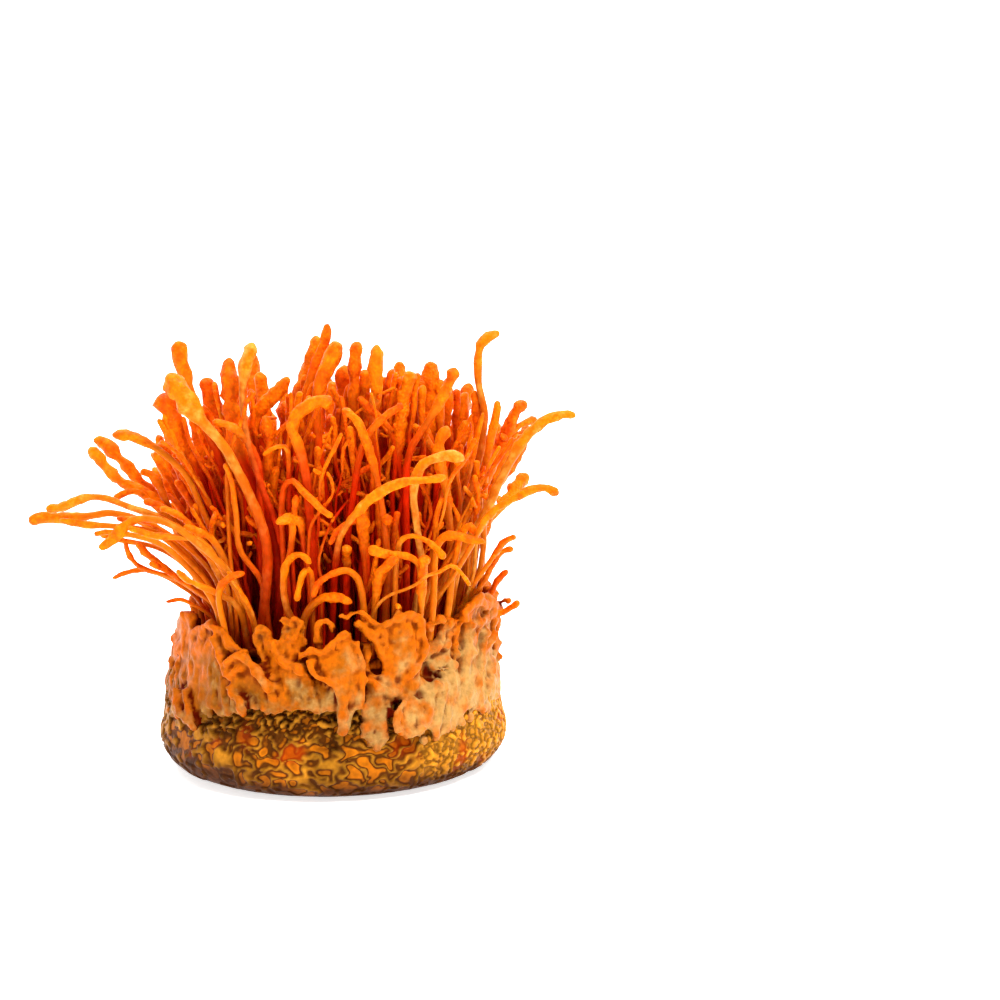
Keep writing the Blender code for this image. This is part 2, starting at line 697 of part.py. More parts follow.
def main():
    for item in list(bpy.data.objects):
        bpy.data.objects.remove(item)
    rice = make_material("rice", 0.6)
    mycelium = make_material("mycelium", 0.5)
    flesh = make_material("stalk", 0.55)
    finish("rice_block", stack_rings(block_rings()), rice)
    finish("mycelium_mat", stack_rings(mat_rings()), mycelium)

    chance = np.random.default_rng(SEED)
    wanted = [row[0] for row in FRONT_STALKS.values()] + [at_bearing(*row[:2]) for row in BACK_STALKS]
    stems = [row[1] for row in FRONT_STALKS.values()] + [row[5] for row in BACK_STALKS]
    feet = [row[:2] for row in TUFTS]
    roots = settle_roots(wanted, [stem * STEM_WEIGHT[0] for stem in stems], feet)
    thicket = Thicket()
    singles = {}
    for (name, (_, stem, club, route)), root in zip(FRONT_STALKS.items(), roots):
        radii = stem * np.array(STEM_WEIGHT) + club * np.array(CLUB_WEIGHT)
        singles["stalk_" + name] = thicket.add(front_route(root, route), radii, 0.55, 0)
    for number, row in enumerate(BACK_STALKS, 1):
        _, _, tip_bearing, tip_radius, height, stem, club = row
        root = roots[len(FRONT_STALKS) + number - 1]
        radii = stem * np.array(STEM_WEIGHT) + club * np.array(CLUB_WEIGHT)
        rings = back_route(root, tip_bearing, tip_radius, height)
        singles[f"stalk_back_{number:02d}"] = thicket.add(rings, radii, 0.8, 0)
    tufts = []
    for number, (across, behind, tallest) in enumerate(TUFTS, 1):
        members = []
        for rings in tuft_routes((across, behind), tallest, chance):
            club = chance.uniform(*TUFT_CLUB)
            radii = TUFT_STEM * np.array(TUFT_STEM_WEIGHT) + club * np.array(TUFT_CLUB_WEIGHT)
            members.append(thicket.add(rings, radii, 1.0, number))
        tufts.append(((across, behind), members))
    thicket.part()

    for name, number in singles.items():
        finish(name, stalk_mesh(*thicket.rings(number)), flesh)
    for number, (foot, members) in enumerate(tufts, 1):
        finish(f"tuft_{number:02d}", tuft_mesh(foot, [thicket.rings(m) for m in members]), flesh)


main()
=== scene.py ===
"""Dresses the cordyceps bunch: grainy orange stalks, their frilled mycelium and the marbled rice block.

Routes, lobes and patterns are worked out in millimetres and become metres where a mesh is made.
A bearing is an angle round the block in degrees, 0 at the front (-Y) and growing towards +X.
"""

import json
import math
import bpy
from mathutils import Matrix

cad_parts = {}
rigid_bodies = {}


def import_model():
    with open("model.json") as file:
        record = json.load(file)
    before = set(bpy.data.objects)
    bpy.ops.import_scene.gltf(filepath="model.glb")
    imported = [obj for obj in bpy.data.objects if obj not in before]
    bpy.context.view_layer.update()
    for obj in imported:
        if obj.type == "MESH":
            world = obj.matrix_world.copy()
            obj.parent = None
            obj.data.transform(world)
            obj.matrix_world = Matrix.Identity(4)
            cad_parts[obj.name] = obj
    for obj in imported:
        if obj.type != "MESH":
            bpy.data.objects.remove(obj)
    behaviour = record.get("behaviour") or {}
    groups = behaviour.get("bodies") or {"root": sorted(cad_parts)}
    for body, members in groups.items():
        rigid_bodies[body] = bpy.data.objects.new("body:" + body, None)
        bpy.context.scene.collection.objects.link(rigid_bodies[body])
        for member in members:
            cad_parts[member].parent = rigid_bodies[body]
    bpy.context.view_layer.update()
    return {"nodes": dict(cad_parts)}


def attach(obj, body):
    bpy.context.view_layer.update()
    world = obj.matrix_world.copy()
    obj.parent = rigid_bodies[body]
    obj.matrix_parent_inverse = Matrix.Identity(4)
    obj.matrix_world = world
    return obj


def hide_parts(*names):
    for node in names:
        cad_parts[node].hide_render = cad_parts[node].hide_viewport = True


bl_info = {
    "name": "Cordyceps Bunch",
    "version": (1, 0, 0),
    "blender": (4, 5, 0),
    "location": "View3D > Sidebar > Cordyceps",
    "description": "Grows the flesh, frills and rice block of a cordyceps bunch on its plain solids",
    "category": "Mesh",
}

import bpy
import bmesh
import numpy as np
from bpy.props import FloatProperty, FloatVectorProperty, IntProperty, PointerProperty
from bpy.types import Operator, Panel, PropertyGroup
from mathutils import Matrix, Vector, noise
from mathutils.kdtree import KDTree

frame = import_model()
NODES = frame["nodes"]

MM = 0.001
SEED = 5

# The camera stands where the photographer did, and the front stalks' routes are seen from there.
EYE = Vector((42.0, -523.0, 150.0))
EYE_TILT = 9.15
LENS = 76.4

# The frills were traced on an upright plane this far along Y, just before the bunch.
NEAR_PLANE = -42.0

# The rice block: radius and height of each turn of its side, from its flat underside up.
BLOCK_SIDE = (
    (33.5, 0.0), (36.5, 0.25), (39.2, 1.2), (41.2, 2.7), (42.5, 4.6), (43.3, 6.8), (43.4, 9.0), (42.7, 12.0),
    (41.8, 16.0), (41.0, 20.0), (40.2, 24.6),
)
BLOCK_TURN_STEPS = 800
BLOCK_ROW_HEIGHT = 0.36
BLOCK_UNDERSIDE_RADII = (0.0, 15.0, 28.0)
BLOCK_TOP = 24.8
BLOCK_TOP_RADII = (39.0, 30.0, 15.0, 0.0)

# The mycelium's low wall under the frills: a closed outline of radius and height, clear of the block.
WALL_OUTLINE = (
    (40.8, 22.6), (41.0, 23.4), (39.8, 25.5), (38.4, 28.0), (37.2, 31.0), (36.2, 33.0), (35.2, 33.2),
    (34.4, 31.2), (33.0, 29.2), (31.0, 28.4), (31.0, 26.8), (35.0, 25.8), (39.0, 25.2), (40.4, 23.4),
)

# The mycelium floor that the stalks stand on.
FLOOR_HEIGHT = 28.8
FLOOR_RADIUS = 34.0
FLOOR_THICKNESS = 2.0

# Sheets of the frills: rows from hem to rim, and columns from one rib to the next.
SHEET_ROWS = 14
COLUMNS_A_RIB = 7

# The frills of the sides and back stand in two layers, which end before the last bearing. Each layer has
# how much lower its frills reach, its first bearing and the step from one frill to the next.
FRILL_LAYERS = ((0, 64, 12.0), (6, 70, 13.0))
LAST_BEARING = 310

# Loose knobs stand all round the frills, with fewer of them between the bearings of the front.
LOOSE_KNOBS = 460
FRONT_BEARINGS = (-54, 62)

# Rounds of smoothing that the hollows and crests of the frills are measured against.
SMOOTHING_ROUNDS = 24

# The front frills, traced. Each is a row of ribs, and each rib runs from the hem up to the rim. A point is
# the across and up at which it is seen on the near plane, and how far it stands out from the wall.
FRONT_FRILLS = (
    (((-30.5, 27, 0), (-31, 32, 0.5), (-30.8, 38, 0.8), (-28.5, 42, 0.3)),
     ((-27.5, 24, 0.5), (-27.5, 30, 1.2), (-27, 37, 1.6), (-25.5, 43, 0.8)),
     ((-25, 23, 1.0), (-24.5, 30, 2.2), (-23.8, 37, 2.2), (-23, 42, 1.2)),
     ((-22.5, 22, 1.6), (-23, 28, 3.0), (-22.5, 34, 2.4), (-20.8, 39.5, 1.4)),
     ((-19.8, 22.5, 2.6), (-20.5, 26, 3.2), (-21.5, 31, 2.8), (-19, 37.5, 1.4))),
    (((-18.6, 21.5, 2.8), (-19.5, 25, 3.4), (-20.8, 29.5, 3.8), (-21.8, 33.5, 3.8)),
     ((-17, 23.5, 2.0), (-18, 27, 3.0), (-18.6, 31, 3.8), (-19, 35.5, 4.2)),
     ((-14.5, 23, 1.4), (-15, 26, 2.4), (-15.6, 30, 3.4), (-16.2, 34.5, 4.0)),
     ((-12, 22.5, 1.2), (-12.5, 25, 2.2), (-13, 28, 3.2), (-13.3, 31, 3.6)),
     ((-9.5, 22, 1.0), (-10, 24, 1.8), (-10.3, 26, 2.4), (-11, 28, 2.8))),
    (((-9.5, 27, 0.6), (-11.2, 32, 0.8), (-13, 37, 0.8), (-15, 40.5, 0.4)),
     ((-8.5, 26, 1.2), (-9.8, 32, 1.8), (-11.5, 37, 1.6), (-13.2, 42, 1.0)),
     ((-7.5, 26, 1.0), (-8.5, 32, 1.2), (-10, 37, 1.0), (-11, 41, 0.4))),
    (((-9, 24, 1.4), (-9.5, 30, 1.6), (-9.5, 36, 1.0), (-9, 41, 0.4), (-8.2, 44.5, 0)),
     ((-6, 23, 1.8), (-6.5, 29, 2.8), (-7, 35, 2.2), (-7.2, 40, 1.2), (-6, 44.5, 1.2)),
     ((-3, 22.8, 2.2), (-3.5, 28, 3.2), (-4.5, 33, 2.6), (-5.3, 38, 1.2), (-4.2, 43.8, 0.6)),
     ((-0.5, 23, 2.4), (-1, 27, 3.4), (-2.2, 31, 3.0), (-3.8, 34, 2.0), (-5.0, 37, 1.0))),
    (((-0.5, 23, 1.6), (-1, 26, 2.2), (-1.8, 29, 2.2), (-2.8, 32, 1.4)),
     ((1.2, 22.6, 2.2), (0.8, 25.5, 3.0), (0.2, 28, 2.8), (-0.5, 31, 2.0)),
     ((3.0, 23.5, 2.0), (2.8, 25, 2.6), (2.6, 27, 2.6), (2.2, 29.5, 2.0))),
    (((1.0, 28.8, 2.6), (0.2, 30.5, 3.6), (-1, 32.5, 3.8), (-2, 34.5, 3.2), (-3.5, 36.3, 2.2)),
     ((4.3, 26.5, 3.0), (3.5, 29.5, 4.6), (2, 33, 4.8), (0.5, 35, 4.0), (-0.8, 37.5, 2.6)),
     ((5.2, 19, 2.0), (5.6, 25.5, 4.2), (5, 31, 5.4), (3.5, 35, 4.8), (2.2, 38, 3.2)),
     ((6.4, 17.5, 1.8), (7.2, 24, 3.8), (8, 30.5, 5.0), (7, 36, 4.4), (5.5, 40.5, 3.2)),
     ((8.2, 22, 1.0), (9.5, 26.5, 2.4), (9.6, 32, 3.2), (8.8, 36, 3.0), (7.6, 41.5, 2.4))),
    (((14.6, 31, 0), (14, 36, 0.8), (11.5, 40, 1.4), (8.5, 43.8, 1.4)),
     ((16, 28, 1.2), (16, 33, 2.0), (15, 38, 2.2), (12.5, 43.5, 1.8)),
     ((18.5, 25.5, 2.0), (18.5, 31, 2.8), (18, 37, 2.4), (17, 43.5, 1.8)),
     ((20.5, 25.5, 2.4), (21, 31, 3.4), (21, 37, 3.0), (20.8, 45.3, 2.0)),
     ((22.6, 27, 1.4), (23.6, 32, 2.0), (24, 37, 2.2), (24, 43.8, 1.2))),
    (((33.3, 24, 0.8), (33.3, 31, 0.6), (33.8, 39, 1.0), (34, 45.5, 1.4)),
     ((35.6, 23.5, 1.2), (35.4, 31, 1.4), (35.8, 40, 2.0), (36.2, 48.2, 2.0)),
     ((37.4, 24, 0.4), (37.4, 32, 0), (37.8, 40, 0.8), (38.6, 47.8, 1.4)),
     ((39.2, 25, 0.8), (39.8, 33, 0.8), (40.3, 40, 1.6), (42.2, 47, 2.0))),
    (((18.6, 17.5, 2.8), (18.3, 20, 3.4), (18.8, 22.5, 3.4), (20, 25, 2.6)),
     ((21.5, 16.5, 2.6), (21.5, 19.5, 3.8), (21.8, 22.5, 3.8), (22.4, 25.6, 2.8)),
     ((24.5, 17, 1.8), (25, 20, 2.6), (25.2, 23, 2.6), (25.4, 26, 2.0)),
     ((28, 18, 1.2), (28.6, 21, 1.8), (29, 24, 1.8), (29.4, 27.5, 1.4))),
    (((-35.3, 21.5, 0.8), (-34.6, 24, 1.2), (-33.6, 27.5, 1.2)),
     ((-32.4, 19.5, 1.2), (-31.8, 23, 2.0), (-31.4, 27.8, 1.2)),
     ((-29.4, 17.8, 1.2), (-29.8, 20.5, 1.8), (-30.0, 25, 0.8))),
    (((10.2, 21.5, 0.4), (10.4, 23.5, 1.2), (11, 25.5, 1.4), (11.5, 27.5, 0.8)),
     ((12, 14.5, 0), (12, 18, 0.8), (12.5, 22, 1.4), (13, 26, 1.4)),
     ((14, 13.5, 0.2), (14.2, 17.5, 1.0), (14.8, 21.5, 1.8), (15, 26, 1.6)),
     ((15.6, 15, 0.4), (15.8, 18, 1.0), (16.3, 22, 1.6), (16.8, 26, 1.2))),
    (((10.8, 26, 0.8), (10.8, 28, 1.6), (11, 30, 1.4), (11.5, 31.5, 0.6)),
     ((13.5, 25.8, 1.6), (13.5, 28, 2.6), (13.8, 30, 2.4), (14, 31.5, 1.4)),
     ((16.5, 26, 1.8), (16.6, 28, 2.8), (16.8, 30.5, 2.6), (16.8, 33, 1.4)),
     ((20, 26, 1.4), (20, 28, 2.4), (20.2, 31, 2.2), (20.4, 33, 1.2))),
    (((22, 24.5, 0.8), (22, 27, 1.4), (22.4, 29.5, 1.4), (22.6, 32, 0.8)),
     ((25.6, 24, 1.0), (25.6, 26, 1.6), (25.8, 28, 1.4), (26, 29.6, 0.8)),
     ((29.5, 23.5, 0.8), (29.5, 27, 1.6), (29.8, 29.5, 1.4), (29.8, 31.5, 1.0)),
     ((33, 23, 0.2), (33.2, 26, 0.6), (33.4, 29, 0.6), (33.6, 31.5, 0.4))),
    (((27.2, 30.5, -0.4), (27.6, 34, 0), (28, 38, 0), (28.4, 42, 0)),
     ((30.2, 29.5, -0.2), (30.5, 34, 0.4), (30.5, 38, 0.4), (30.8, 44, 0.2)),
     ((33.2, 30, -0.2), (33.4, 35, 0.2), (33.6, 39, 0.2), (34, 45, 0))),
    (((27.4, 16, 0.6), (27.8, 19, 1.2), (28, 22, 1.2), (28.4, 25, 0.8)),
     ((30.5, 17.5, 0.6), (30.8, 20.5, 1.2), (31, 23.5, 1.0), (31.2, 26, 0.6)),
     ((33.6, 19.5, 0), (34, 22, 0.4), (34.4, 24, 0.4), (34.6, 26, 0.2))),
    (((-33.4, 24, 0.2), (-33.2, 30, 0.4), (-33, 36, 0.4), (-32.6, 41, 0.2)),
     ((-30, 24, 0.8), (-30, 30, 1.4), (-30, 36, 1.4), (-29.8, 42.3, 0.8)),
     ((-27, 23, 1.2), (-27, 30, 2.0), (-26.8, 36, 2.0), (-26.5, 42.6, 1.2)),
     ((-24, 22.5, 1.4), (-24, 29, 2.4), (-23.8, 35, 2.4), (-23.6, 41.6, 1.6)),
     ((-21, 22.5, 1.8), (-21.2, 28, 2.8), (-21, 33, 2.8), (-20.8, 38.6, 2.0)),
     ((-18.2, 23, 1.8), (-18.6, 27, 2.8), (-18.8, 31, 2.8), (-18.6, 35.4, 2.2))),
    (((-11.6, 24, 0.8), (-11.2, 29, 1.4), (-11.4, 34, 1.4), (-12.2, 40, 0.8)),
     ((-9.4, 24, 1.4), (-9.4, 29, 2.2), (-9.6, 34, 2.0), (-10.2, 39.2, 1.2)),
     ((-6.6, 23.5, 1.6), (-6.6, 29, 2.6), (-6.8, 34, 2.2), (-7.4, 39.6, 1.4)),
     ((-3.6, 23.5, 1.4), (-3.8, 28, 2.4), (-4.2, 33, 2.0), (-4.8, 38, 1.2)),
     ((-0.6, 24, 0.8), (-1, 27.5, 1.6), (-2, 31, 1.4), (-3.2, 35.2, 0.8))),
    (((-33.6, 29, 0), (-33.8, 34, 0.6), (-33.6, 40, 0.6), (-33.2, 44, 0.4)),
     ((-31.8, 28, 0.2), (-31.8, 34, 0.8), (-31.8, 40, 1.0), (-31.4, 46.5, 0.8)),
     ((-30, 30, 0), (-30, 35, 0.2), (-29.8, 40, 0.2), (-29.4, 44.5, 0))),
)

# Ridges, rolled edges and knobs on the front frills, traced the same way, with a radius at their ends.
FRONT_RIDGES = (
    (((-29, 41.5, 0.8), (-28, 42.6, 1), (-26, 43.2, 1.2), (-25, 44.3, 1), (-24.6, 42.8, 1.2),
      (-22.8, 42, 1.4), (-21.6, 40.6, 1.6)), 0.9, 1.2),
    (((-21.6, 40.6, 1.6), (-20.4, 38.2, 2), (-18.8, 37.4, 2.2), (-17, 35.8, 3.4)), 1.2, 1.1),
    (((-24.4, 40.5, 2), (-23.8, 37, 3), (-22.8, 34, 3.6), (-22, 32, 4.2), (-20.6, 30.6, 4.4)), 1.3, 0.9),
    (((-22, 33.8, 4.4), (-20.6, 35.4, 4.8), (-18.4, 36, 4.6), (-16.6, 34.8, 4.4), (-14.8, 32.2, 4.2),
      (-13, 29.6, 4), (-11.4, 27.2, 3.4)), 1.0, 1.3),
    (((-21.4, 31.5, 4.4), (-19.6, 32.2, 4.6), (-17.6, 33, 4.6)), 0.7, 0.9),
    (((-21.4, 28.6, 3.8), (-20.2, 26.6, 4.2), (-18.9, 25, 4.4), (-18.6, 23.2, 4.2), (-17.6, 21.8, 3.6)),
      0.9, 1.5),
    (((-15.2, 40.2, 1), (-14.2, 41.8, 1.4), (-12.2, 42, 1.4), (-11.2, 41, 1)), 0.9, 1.0),
    (((-14.8, 40, 1), (-13.6, 36.5, 1.4), (-12, 33, 1.8), (-10.6, 30.4, 2), (-9.4, 27.6, 1.8)), 0.8, 0.9),
    (((-10.8, 39.5, 1.2), (-9.8, 35.8, 1.8), (-7.6, 33.8, 2.8), (-5.4, 33.2, 3.2), (-3.8, 31.6, 3.6)),
      0.9, 1.1),
    (((-8.4, 44.6, 0.4), (-7, 43.6, 1.4), (-5.6, 44.8, 1.6), (-4.2, 43.4, 1.2), (-3.2, 44.2, 0.8)),
      0.9, 1.0),
    (((-7.2, 40.8, 1.6), (-6, 39.6, 1.8), (-4.6, 42.6, 1.2)), 0.9, 0.8),
    (((-4.8, 36, 2.4), (-3.2, 36.4, 3.2), (-1.4, 37.6, 3.6), (0.2, 36.6, 4), (1.8, 37.6, 4.2),
      (3.4, 39.2, 4.2), (5.4, 40.6, 3.8), (7.4, 41.4, 3)), 0.9, 1.0),
    (((-2.2, 34.8, 4.4), (-1.8, 32.4, 4.8), (-0.6, 30.8, 5), (1.6, 29.8, 5.2), (3.6, 28.4, 5.2),
      (5, 26.2, 4.8), (5.4, 23.5, 4), (5.3, 20, 3), (5.2, 16.4, 2.2)), 1.0, 1.5),
    (((8.6, 39.5, 3.4), (9.8, 35, 3.8), (10, 31, 3.8), (9.8, 27, 3.2), (8.6, 23, 2.2)), 0.9, 1.1),
    (((0.2, 38, 0.4), (-0.4, 41, 0.4), (0.2, 43.4, 0.4), (1.8, 44.2, 0.4), (3.2, 43.2, 0.4),
      (3.2, 41, 0.6)), 1.1, 0.9),
    (((4.8, 45.8, 0.4), (6.2, 44.6, 1.2), (8, 46, 1.4), (10.2, 46.2, 1.4), (11.6, 44.8, 1.6),
      (14, 43.4, 2), (15.8, 43.4, 2), (17.6, 45, 1.6), (18.6, 47.6, 1)), 0.8, 0.7),
    (((8.6, 44, 1.8), (11, 41.6, 2), (13.2, 38.8, 2), (14.8, 35.6, 1.6), (15.2, 32.2, 1)), 1.0, 0.9),
    (((15.6, 43.6, 2), (18, 44.6, 2.2), (20.6, 45.6, 2.4), (23, 44.8, 2), (24.6, 43, 1.6)), 1.1, 1.2),
    (((23.6, 42, 2.2), (24.8, 39, 2.4), (24.4, 35.5, 2.8), (22.6, 32.6, 3.4), (20.8, 30.4, 3.8)), 1.0, 0.9),
    (((10.8, 39, -0.6), (10.4, 36, -0.4), (10.6, 33, -0.2), (11.4, 30.6, 0.2)), 1.6, 1.4),
    (((11.4, 30.4, 1.2), (13, 29.2, 2.4), (14, 26.6, 2.2)), 1.4, 1.9),
    (((16.4, 30.6, 1.8), (17, 28.4, 2.8), (17.6, 26.2, 2.6)), 1.3, 1.9),
    (((33.8, 44, 1.8), (34.2, 46.6, 2.4), (36.4, 48.4, 2.6), (38.8, 48, 2.4), (41, 47.8, 2.2),
      (43, 46.4, 2)), 1.3, 1.4),
    (((35.4, 43, 2.4), (37.4, 43.6, 2.6), (39.4, 44.8, 2.6)), 1.1, 1.3),
    (((39, 46, 2), (38.6, 40, 2), (38, 34, 1.6), (37.6, 28, 1.2)), 0.9, 0.8),
    (((41.6, 45, 2), (41, 39, 1.6), (40.4, 32, 1.2), (39.6, 26.5, 1)), 1.0, 0.8),
    (((-33.4, 28, 2), (-33.6, 25, 2.2), (-32.6, 22, 2.4), (-30.8, 19.8, 2.4), (-28.8, 18, 2)), 1.2, 1.1),
    (((-31.4, 27.6, 1.8), (-31.2, 24.6, 2.2), (-30.6, 21.6, 2)), 1.1, 0.9),
    (((18.2, 17.6, 3.6), (17.8, 20.4, 4.2), (18.4, 23, 4.2), (20, 25.4, 3.6)), 1.2, 1.0),
    (((20.4, 17, 3.8), (22.8, 17.6, 3.6), (24.8, 18.6, 3)), 1.2, 1.4),
)

# Knobs that crowd between the front frills: across, up, stand-out and radius, and how deep they are sunk.
KNOB_DEPTH = 0.3
FRONT_KNOBS = (
    (29, 41, 1.6, 1.6), (30.6, 38.6, 1.8, 1.7), (28.2, 37.6, 1.4, 1.5), (26.2, 37, 1.2, 1.5),
    (30.2, 35.2, 2, 1.8), (31.6, 33.2, 1.8, 1.7), (28.6, 33.2, 2, 2.0), (30.6, 31, 1.6, 1.5),
    (27.2, 27.6, 1.8, 1.9), (25, 28.6, 1.4, 1.4), (32.6, 38.6, 1.6, 1.5), (32.4, 36, 1.6, 1.5),
    (26.6, 43.2, 1.4, 1.7), (29, 44.6, 1.4, 1.8), (31.6, 43.2, 1.6, 1.8), (29.4, 28.6, 1.6, 1.5),
    (31.8, 28.4, 1.2, 1.4), (26.4, 25.4, 1.8, 1.5), (31.2, 25, 1.4, 1.8), (33, 22.4, 1.2, 1.6),
    (11.2, 26.2, 1.4, 1.5), (13.2, 24.6, 1.6, 1.4), (11.4, 22.8, 1.6, 1.7), (9.9, 21.4, 1.2, 1.2),
    (14.4, 22.6, 1.8, 1.6), (16.4, 24.2, 1.8, 1.3), (10.6, 18.8, 1.6, 1.5), (12.9, 19.8, 1.4, 1.4),
    (14.9, 19, 1.8, 1.5), (12.6, 16.4, 1.4, 1.4), (15.2, 16, 1.4, 1.6), (9.6, 16, 1.0, 1.2),
    (16.6, 21.4, 1.8, 1.2), (13.8, 13.6, 1.2, 1.4), (11.4, 14, 1.0, 1.1), (24, 15.4, 1.0, 1.6),
    (27.2, 16.4, 1.2, 1.5), (30.4, 18.2, 1.2, 1.6), (33.6, 19.2, 1.0, 1.4), (36, 21.6, 1.0, 1.5),
    (38.6, 22.6, 0.8, 1.3), (-26.4, 22, 0.6, 1.2), (-7.4, 25.2, 2.4, 0.9), (-5.6, 23.8, 2.8, 1.2),
    (3.6, 15.2, 0.8, 1.2), (1.8, 14.8, 0.8, 1.0), (42.8, 36, 2.6, 0.9), (44.6, 48.6, 2.4, 1.1),
    (-34.9, 33.4, 1.2, 0.8), (27.6, 34.4, 1.0, 2.4), (29, 31.4, 1.0, 2.0), (25.2, 35.6, 0.6, 1.7),
)

# Shapes of the stalks that are seen best: stem radius, club radius, club length and how pale they are.
CLEAR_SHAPES = {
    "stalk_great_curve": (1.5, 3.1, 9, -0.2),
    "stalk_tall_left": (1.1, 2.0, 6, 0.1),
    "stalk_blunt_left": (1.9, 2.6, 15, 0.4),
    "stalk_club_left": (1.3, 2.0, 9, 0.4),
    "stalk_knobbed": (1.6, 2.4, 20, 0.3),
    "stalk_pale_upright": (0.8, 1.9, 6, -0.6),
    "stalk_crook": (1.3, 1.7, 16, 0.1),
    "stalk_peak": (0.9, 1.3, 10, 0.4),
    "stalk_elbowed": (1.0, 1.3, 9, -0.2),
    "stalk_arch_left": (1.2, 1.5, 14, 0.0),
    "stalk_arch_right": (1.0, 1.4, 14, 0.1),
    "stalk_left_hook": (1.0, 1.5, 6, 0.2),
    "stalk_left_finger_low": (1.3, 1.6, 22, -0.1),
    "stalk_left_finger_high": (1.3, 1.6, 22, 0.1),
    "stalk_left_droop": (0.9, 1.4, 8, 0.0),
    "stalk_far_left_low": (1.0, 1.6, 9, 0.1),
    "stalk_far_left_high": (1.0, 1.5, 9, -0.2),
    "stalk_right_long": (1.3, 1.6, 14, -0.3),
    "stalk_right_low": (0.9, 1.2, 20, -0.1),
    "stalk_slanting": (1.0, 1.5, 8, 0.1),
    "stalk_pale_bar": (1.0, 1.35, 14, -0.45),
    "stalk_low_bar": (0.9, 1.15, 22, -0.2),
}

# The share of their solids' height that two back stalks have, so that they don't stand over the front ones.
BACK_REACH = {"stalk_back_03": 0.95, "stalk_back_05": 0.92}

# Sides and rings of the tube that each kind of stalk is laid on, and how many of its rings round off the tip.
SINGLE_TUBE, SINGLE_SHOOT_TUBE = (14, 64), (8, 18)
TUFT_TUBE, TUFT_SHOOT_TUBE = (10, 44), (7, 16)
THIN_TUBE, THIN_SHOOT_TUBE = (7, 28), (6, 12)
RIDGE_TUBE = (8, 22)
TIP_RINGS = 8

# The thin stalks are joined into this many pieces, each an equal sector of the bunch.
SECTORS = 6

# As seen from the front, thin stalks keep within these places across wherever they are lower than these
# heights, and none reaches over the canopy.
LEFT_EDGE, LEFT_EDGE_TOP = -44, 90
RIGHT_EDGE, RIGHT_EDGE_TOP = 41, 76
CANOPY_TOP = 98

# What leans out past this radius stays over this height, clear of the frills.
FRILL_RADIUS = 36
FRILL_TOP = 40.0

# Share of a stalk's radius that its smooth core has. The lumps and beads on it make up the rest.
CORE_SHARE = 0.86
# A CAD stalk has five flat sides, so the round club drawn for it is a little broader.
CLUB_SWELL = 1.18

